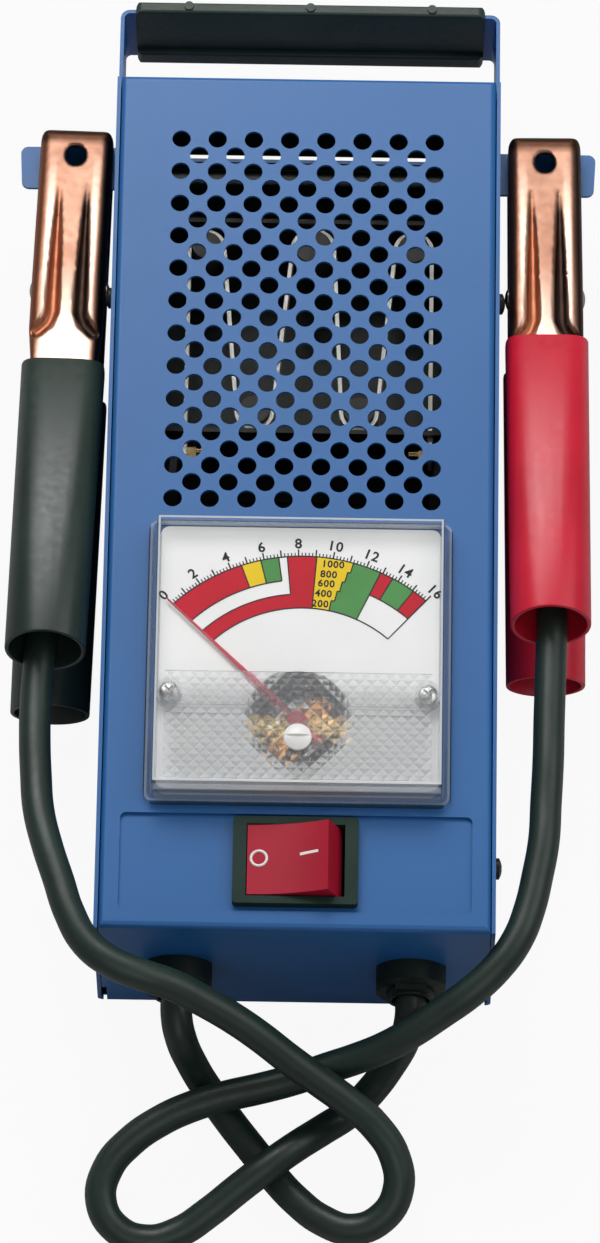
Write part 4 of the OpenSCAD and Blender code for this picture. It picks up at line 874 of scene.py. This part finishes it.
# %% Wind the two springs
WIRE_D, COIL_R, TURNS, LEG = 1.6, 4.2, 4, 26
WIRE_GAP = 0.15
STEPS_A_TURN = 16
LEG_SLOPE = 0.34


def spring_points():
    """The wire's middle line in the clamp's own frame, from leg to leg."""
    around = TURNS * 360 - 180
    count = TURNS * STEPS_A_TURN
    width = TURNS * (WIRE_D + WIRE_GAP)
    coil = []
    for i in range(count + 1):
        f = i / count
        a = math.radians(90 - f * around)
        coil.append(Vector(((f - 0.5) * width, COIL_R * math.cos(a), COIL_R * math.sin(a))))
    back = Vector((0, -LEG, 0))
    slope = Vector((0, 0, LEG * LEG_SLOPE))
    return [coil[0] + back + slope] + coil + [coil[-1] + back - slope]


def spring(side):
    points = spring_points()
    data = bpy.data.curves.new(side + "_wire", "CURVE")
    data.dimensions = "3D"
    line = data.splines.new("POLY")
    line.points.add(len(points) - 1)
    for point, spot in zip(line.points, points):
        point.co = (*(spot * MM), 1)
    data.bevel_depth = WIRE_D / 2 * MM
    data.bevel_resolution = 3
    data.use_fill_caps = True
    only(link_new(side + "_wire", data))
    bpy.ops.object.convert(target="MESH")
    obj = bpy.context.object
    obj.matrix_world = clamp_place(side)
    settle(obj)
    smooth(obj, angle=50)
    obj.name = obj.data.name = side + "_spring_wire"
    obj.data.materials.clear()
    obj.data.materials.append(spring_steel)
    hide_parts(side + "_spring")
    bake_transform(obj)
    return obj


for side in ("left", "right"):
    print(spring(side).name, "wound")

# %% [markdown]
# The dial is printed: a double arc with coloured zones, black outlines, ticks
# and numbers. A picture would blur close up. On the model each colour is a
# film of ink 0.05 mm thick that lies on the plate, so its edges stay sharp.
# An edge that is spun about the arcs' centre, which lies close to the
# pointer's pivot, sweeps each arc exactly. The dial counts from 0 to 16, and
# every place on it is a value and a radius.

# %% Inks and the arc tool
ARC_X, ARC_Y = 0.9, -66.1
DIAL_Z = 58.0
ZONE_Z, INK_Z = DIAL_Z + 0.03, DIAL_Z + 0.07
UNIT = 5.44
ZERO = -45.3
SCALE_END = 16
ARC_STEPS = 4


def ink(name, dark, light):
    return finish_of("ink_" + name, dark, light, rough=(0.45, 0.55), blotch=90, grain=2000,
                     specular=0.05)


ink_black = ink("black", (0.012, 0.013, 0.014), (0.02, 0.021, 0.022))
ink_red = ink("red", (0.53, 0.001, 0.014), (0.57, 0.002, 0.018))
ink_yellow = ink("yellow", (0.84, 0.58, 0.004), (0.88, 0.61, 0.008))
ink_green = ink("green", (0.075, 0.27, 0.065), (0.088, 0.30, 0.078))


def turned(value):
    """The angle of a scale value, clockwise from straight up."""
    return math.radians(ZERO + UNIT * value)


def on_dial(value, radius):
    a = turned(value)
    return Vector((ARC_X + radius * math.sin(a), ARC_Y + radius * math.cos(a), 0))


def arc_band(value0, value1, r0, r1, z=ZONE_Z):
    """A flat band between two radii, spun from one edge about their centre."""
    clear_selection()
    bpy.ops.mesh.primitive_plane_add(size=1, location=(0, 0, 0))
    obj = bpy.context.object
    bpy.ops.object.mode_set(mode="EDIT")
    bpy.ops.mesh.select_all(action="SELECT")
    bpy.ops.mesh.delete(type="ONLY_FACE")
    bm = bmesh.from_edit_mesh(obj.data)
    bm.verts.ensure_lookup_table()
    bmesh.ops.delete(bm, geom=bm.verts[2:], context="VERTS")
    for v, r in zip(bm.verts, (r0, r1)):
        v.co = (on_dial(value0, r) + Vector((0, 0, z))) * MM
    bmesh.update_edit_mesh(obj.data)
    bpy.ops.mesh.select_all(action="SELECT")
    steps = max(1, round(abs(value1 - value0) * ARC_STEPS))
    bpy.ops.mesh.spin(steps=steps, angle=turned(value1) - turned(value0),
                      center=(ARC_X * MM, ARC_Y * MM, z * MM), axis=(0, 0, 1))
    bpy.ops.object.mode_set(mode="OBJECT")
    return obj


print("dial sweeps", round(math.degrees(turned(SCALE_END) - turned(0))), "degrees")

# %% [markdown]
# The outer band serves 6 V batteries on its left and shows the charge on its
# right. Between them the zones for 12 V batteries span the whole height, and
# yellow meets green there in five steps, one for each battery size. Each
# patch could stay a piece of its own, but all patches of a colour are joined
# into one film, because one piece is easier to keep than ten.

# %% Print the coloured zones
SIX_RED, SIX_YELLOW, SIX_END = 4.65, 5.8, 6.85
WHITE_END = 7.35
LOAD_RED, LOAD_END = 9.04, 12.87
CHARGE_RED, CHARGE_GREEN = 13.65, 15.07
R_IN, R_OUT = 32.1, 46.3
R_SIX, R_WHITE, R_CHARGE = 39.8, 35.9, 39.6
STEP_VALUES = (11.2, 11.03, 10.87, 10.7, 10.45)
STEP_R = (R_OUT - R_IN) / len(STEP_VALUES)
FILM = 0.05


def film(flats, name, material, thick=FILM):
    """Joins flat shapes into one film of ink and gives it a thickness."""
    clear_selection()
    for flat in flats:
        flat.select_set(True)
    bpy.context.view_layer.objects.active = flats[0]
    bpy.ops.object.join()
    obj = bpy.context.object
    bpy.ops.object.mode_set(mode="EDIT")
    bpy.ops.mesh.select_all(action="SELECT")
    bpy.ops.mesh.remove_doubles(threshold=1e-6)
    bpy.ops.mesh.normals_make_consistent(inside=False)
    bpy.ops.object.mode_set(mode="OBJECT")
    if sum(p.normal.z for p in obj.data.polygons) < 0:
        flip_faces()
    ink_film = obj.modifiers.new("ink", "SOLIDIFY")
    ink_film.thickness = thick * MM
    ink_film.offset = 0
    apply_modifiers(obj)
    return dress(obj, name, "case", "dial_white", material)


def row_band(i, value0, value1):
    """One of the load zone's rows, counted from the outside."""
    return arc_band(value0, value1, R_OUT - STEP_R * (i + 1), R_OUT - STEP_R * i)


film([arc_band(0, SIX_RED, R_SIX, R_OUT), arc_band(0, WHITE_END, R_IN, R_WHITE),
      arc_band(WHITE_END, LOAD_RED, R_IN, R_OUT),
      arc_band(LOAD_END, CHARGE_RED, R_CHARGE, R_OUT),
      arc_band(CHARGE_GREEN, SCALE_END, R_CHARGE, R_OUT)], "dial_red", ink_red)
film([arc_band(SIX_RED, SIX_YELLOW, R_SIX, R_OUT)]
     + [row_band(i, LOAD_RED, v) for i, v in enumerate(STEP_VALUES)],
     "dial_yellow", ink_yellow)
film([arc_band(SIX_YELLOW, SIX_END, R_SIX, R_OUT),
      arc_band(CHARGE_RED, CHARGE_GREEN, R_CHARGE, R_OUT)]
     + [row_band(i, v, LOAD_END) for i, v in enumerate(STEP_VALUES)],
     "dial_green", ink_green)
print("zones printed")

# %% [markdown]
# Fine black lines edge the zones, and ticks stand on the outer arc: a long
# one at each whole value and four short ones between. A line is only a very
# narrow band, so the same arc tool draws them all. They lie a little higher
# than the zones, so that the black always shows on top of the colours.

# %% Print the outlines and the ticks
LINE = 0.32
LONG_TICK, LONG_LINE = 1.85, 0.36
SHORT_TICK, SHORT_LINE = 0.95, 0.26
TICKS_A_UNIT = 5


def radial_line(value, r0, r1, width=LINE):
    half = math.degrees(width / 2 / ((r0 + r1) / 2)) / UNIT
    return arc_band(value - half, value + half, r0, r1, INK_Z)


def arc_line(value0, value1, r, width=LINE):
    return arc_band(value0, value1, r - width / 2, r + width / 2, INK_Z)


lines = [arc_line(0, SCALE_END, R_OUT), arc_line(0, SCALE_END, R_IN),
         arc_line(0, SIX_END, R_SIX), arc_line(0, WHITE_END, R_WHITE),
         arc_line(LOAD_END, SCALE_END, R_CHARGE)]
for value, r in ((0, R_IN), (SIX_RED, R_SIX), (SIX_YELLOW, R_SIX), (SIX_END, R_SIX),
                 (WHITE_END, R_WHITE), (LOAD_RED, R_IN), (LOAD_END, R_IN),
                 (CHARGE_RED, R_CHARGE), (CHARGE_GREEN, R_CHARGE), (SCALE_END, R_IN)):
    lines.append(radial_line(value, r, R_OUT))
for i, value in enumerate(STEP_VALUES):
    r = R_OUT - STEP_R * i
    lines.append(radial_line(value, r - STEP_R, r))
    if i > 0:
        lines.append(arc_line(value, STEP_VALUES[i - 1], r))
for i in range(TICKS_A_UNIT * SCALE_END + 1):
    long = i % TICKS_A_UNIT == 0
    lines.append(radial_line(i / TICKS_A_UNIT, R_OUT,
                             R_OUT + (LONG_TICK if long else SHORT_TICK),
                             LONG_LINE if long else SHORT_LINE))
film(lines, "dial_lines", ink_black)
print("outlines and ticks:", len(lines))

# %% [markdown]
# The numbers are text made into a mesh, each turned to stand upright on its
# value. Blender's own font is a little thin for print this small, so a slight
# offset makes its strokes bolder. Values stand outside the scale, and the
# battery's cranking current stands in the rows of the load zone.

# %% Print the numbers
BOLD = 0.07
SIZE_FOR_HEIGHT = 1.38
LETTER_SPACE = 1.12
VALUE_R, VALUE_H = 49.65, 2.7
LOAD_H, LOAD_TURN = 1.9, 4
LOADS = (("1000", 10.05, 44.7), ("800", 9.9, 41.8), ("600", 9.85, 39.2),
         ("400", 9.77, 36.4), ("200", 9.64, 33.5))
NUMBER_FILM = 0.04


def number(text, place, angle, height):
    clear_selection()
    bpy.ops.object.text_add(location=(0, 0, 0))
    label = bpy.context.object.data
    label.body = text
    label.size = height * SIZE_FOR_HEIGHT * MM
    label.align_x = label.align_y = "CENTER"
    label.resolution_u = 3
    label.space_character = LETTER_SPACE
    label.offset = BOLD * MM
    bpy.ops.object.convert(target="MESH")
    obj = bpy.context.object
    obj.matrix_world = (Matrix.Translation((place + Vector((0, 0, INK_Z))) * MM)
                        @ Matrix.Rotation(-angle, 4, "Z"))
    return settle(obj)


numbers = [number(str(v), on_dial(v, VALUE_R), turned(v), VALUE_H)
           for v in range(0, SCALE_END + 1, 2)]
for text, value, r in LOADS:
    numbers.append(number(text, on_dial(value, r), math.radians(LOAD_TURN), LOAD_H))
film(numbers, "dial_numbers", ink_black, NUMBER_FILM)
print("numbers printed:", len(numbers))

# %% [markdown]
# The needle is a fine blade that ends at the scale. A new one could be drawn,
# but its balance and hub are right on the solid. So it is a copy, drawn in
# along its own line and made narrower towards the tip.

# %% Draw the needle fine
NEEDLE_TIP, NEEDLE_ROOT = 46.9, 12
NEEDLE_FINE, NEEDLE_TAPER = 0.5, 3
METER_PIVOT = Vector((0, -65.1, 0))


def fine_needle():
    data = nodes["pointer"].data.copy()
    obj = link_new("needle_blade", data)
    line = Vector((math.sin(turned(0)), math.cos(turned(0)), 0))
    across = Vector((line.y, -line.x, 0))
    off = [v.co / MM - METER_PIVOT for v in data.vertices]
    reach = max(o.dot(line) for o in off)
    for v, o in zip(data.vertices, off):
        along = o.dot(line)
        if along > NEEDLE_ROOT:
            f = (along - NEEDLE_ROOT) / (reach - NEEDLE_ROOT)
            new = NEEDLE_ROOT + f * (NEEDLE_TIP - NEEDLE_ROOT)
            wide = o.dot(across) * (1 - (1 - NEEDLE_FINE) * min(1, f * NEEDLE_TAPER))
            v.co = (METER_PIVOT + line * new + across * wide + Vector((0, 0, o.z))) * MM
    print("needle reached", round(reach, 1), "and now", NEEDLE_TIP)
    return dress(obj, "needle_blade", "pointer", "pointer_red", needle_red, "pointer")


fine_needle()

# %% [markdown]
# The rocker carries two moulded marks, a ring for off and a dash for on. They
# could be cut out of a flat film, but the face is hollow, so a film would
# stand off it. A torus and a flattened bar sink into the face where it
# curves, and ride with it.

# %% Marks on the rocker
SWITCH_Y = -100.9
ROCKER_Z = 48.7
ROCKER_TILT = 13
DIP_R = 45.2
DIP_Z = 7.5
RING_R, RING_WIRE_R, RING_AT = 1.98, 0.38, (-7.5, 0.3)
DASH_SIZE, DASH_AT, DASH_TURN = (4.9, 0.78, 0.3), (5.25, 1.1), 5.4
DASH_EDGE = 0.12
mark_white = finish_of("mark_white", (0.80, 0.78, 0.76), (0.86, 0.84, 0.82),
                       rough=(0.35, 0.45), blotch=90, grain=1500)


def on_rocker(x, y):
    """The place and lean of a point on the rocker's hollow face."""
    lean = math.degrees(math.asin(x / DIP_R))
    height = DIP_Z + DIP_R - math.sqrt(DIP_R ** 2 - x ** 2)
    return (Matrix.Translation(Vector((0, SWITCH_Y, ROCKER_Z)) * MM)
            @ Matrix.Rotation(math.radians(-ROCKER_TILT), 4, "Y")
            @ Matrix.Translation(Vector((x, y, height)) * MM)
            @ Matrix.Rotation(math.radians(-lean), 4, "Y"))


clear_selection()
bpy.ops.mesh.primitive_torus_add(major_radius=RING_R * MM, minor_radius=RING_WIRE_R * MM,
                                 major_segments=36, minor_segments=8)
ring_mark = bpy.context.object
ring_mark.matrix_world = on_rocker(*RING_AT)
settle(ring_mark)
smooth(ring_mark, angle=60)
dress(ring_mark, "rocker_ring", "rocker", "white_plastic", mark_white)

clear_selection()
bpy.ops.mesh.primitive_cube_add(size=1)
dash_mark = bpy.context.object
dash_mark.matrix_world = (on_rocker(*DASH_AT)
                          @ Matrix.Rotation(math.radians(DASH_TURN), 4, "Z")
                          @ Matrix.Diagonal((*(d * MM for d in DASH_SIZE), 1)))
settle(dash_mark)
edges = dash_mark.modifiers.new("edges", "BEVEL")
edges.width = DASH_EDGE * MM
edges.segments = 2
apply_modifiers(dash_mark)
dress(dash_mark, "rocker_dash", "rocker", "white_plastic", mark_white)
print("switch marks made")

# %% [markdown]
# The room is a white floor lit by four large soft lamps and a weak white
# surround. Lighting the floor until it turns white would also wash out the
# blue, so the floor shows the camera a glow of its own instead, and to all
# other light it is a plain mid grey. The lamps then only have to suit the
# tester: the key from the upper left, a sheen over its far end for the paint
# and the copper, a fill from the right and a weak one from the front.

# %% Floor and light
FLOOR_SIZE, FLOOR_Z = 6, -0.0005
FLOOR_GREY, FLOOR_ROUGH, FLOOR_GLOW = 0.5, 0.9, 0.93
AIM = (0, -0.02, 0.03)
LAMPS = (("key", (-0.4, 0.65, 0.95), 0.6, 5.2, AIM),
         ("sheen", (0.05, 1.25, 1.45), 0.9, 13, (0, 0.1, 0.05)),
         ("fill", (0.9, 0.1, 1.1), 0.9, 4.2, AIM),
         ("front", (0.1, -1.1, 1.3), 0.9, 2.6, AIM))
SURROUND = 0.22


def make_floor():
    clear_selection()
    bpy.ops.mesh.primitive_plane_add(size=FLOOR_SIZE, location=(0, 0, FLOOR_Z))
    floor = bpy.context.object
    floor.name = "floor"
    material, tree, shader = tree_of("floor_white")
    shader.inputs["Base Color"].default_value = (FLOOR_GREY, FLOOR_GREY, FLOOR_GREY, 1)
    shader.inputs["Roughness"].default_value = FLOOR_ROUGH
    glow = tree.nodes.new("ShaderNodeEmission")
    rays = tree.nodes.new("ShaderNodeLightPath")
    share = calculator(tree)("MULTIPLY", rays.outputs["Is Camera Ray"], FLOOR_GLOW)
    mix = tree.nodes.new("ShaderNodeMixShader")
    for source, socket in ((share, mix.inputs["Fac"]), (shader.outputs[0], mix.inputs[1]),
                           (glow.outputs[0], mix.inputs[2]),
                           (mix.outputs[0], tree.nodes["Material Output"].inputs["Surface"])):
        tree.links.new(source, socket)
    floor.data.materials.append(material)


def lamp(name, place, size, power, target):
    """An area lamp of this size in metres and power in watts."""
    data = bpy.data.lights.new(name, "AREA")
    data.size = size
    data.energy = power
    obj = link_new(name, data)
    obj.location = place
    aim = Vector(target) - Vector(place)
    obj.rotation_euler = aim.to_track_quat("-Z", "Y").to_euler()


make_floor()
for settings in LAMPS:
    lamp(*settings)
world = bpy.data.worlds.new("world")
bpy.context.scene.world = world
world.use_nodes = True
sky = world.node_tree.nodes["Background"]
sky.inputs["Color"].default_value = (1, 1, 1, 1)
sky.inputs["Strength"].default_value = SURROUND
bpy.context.scene.view_settings.view_transform = "Standard"
print("room lit")
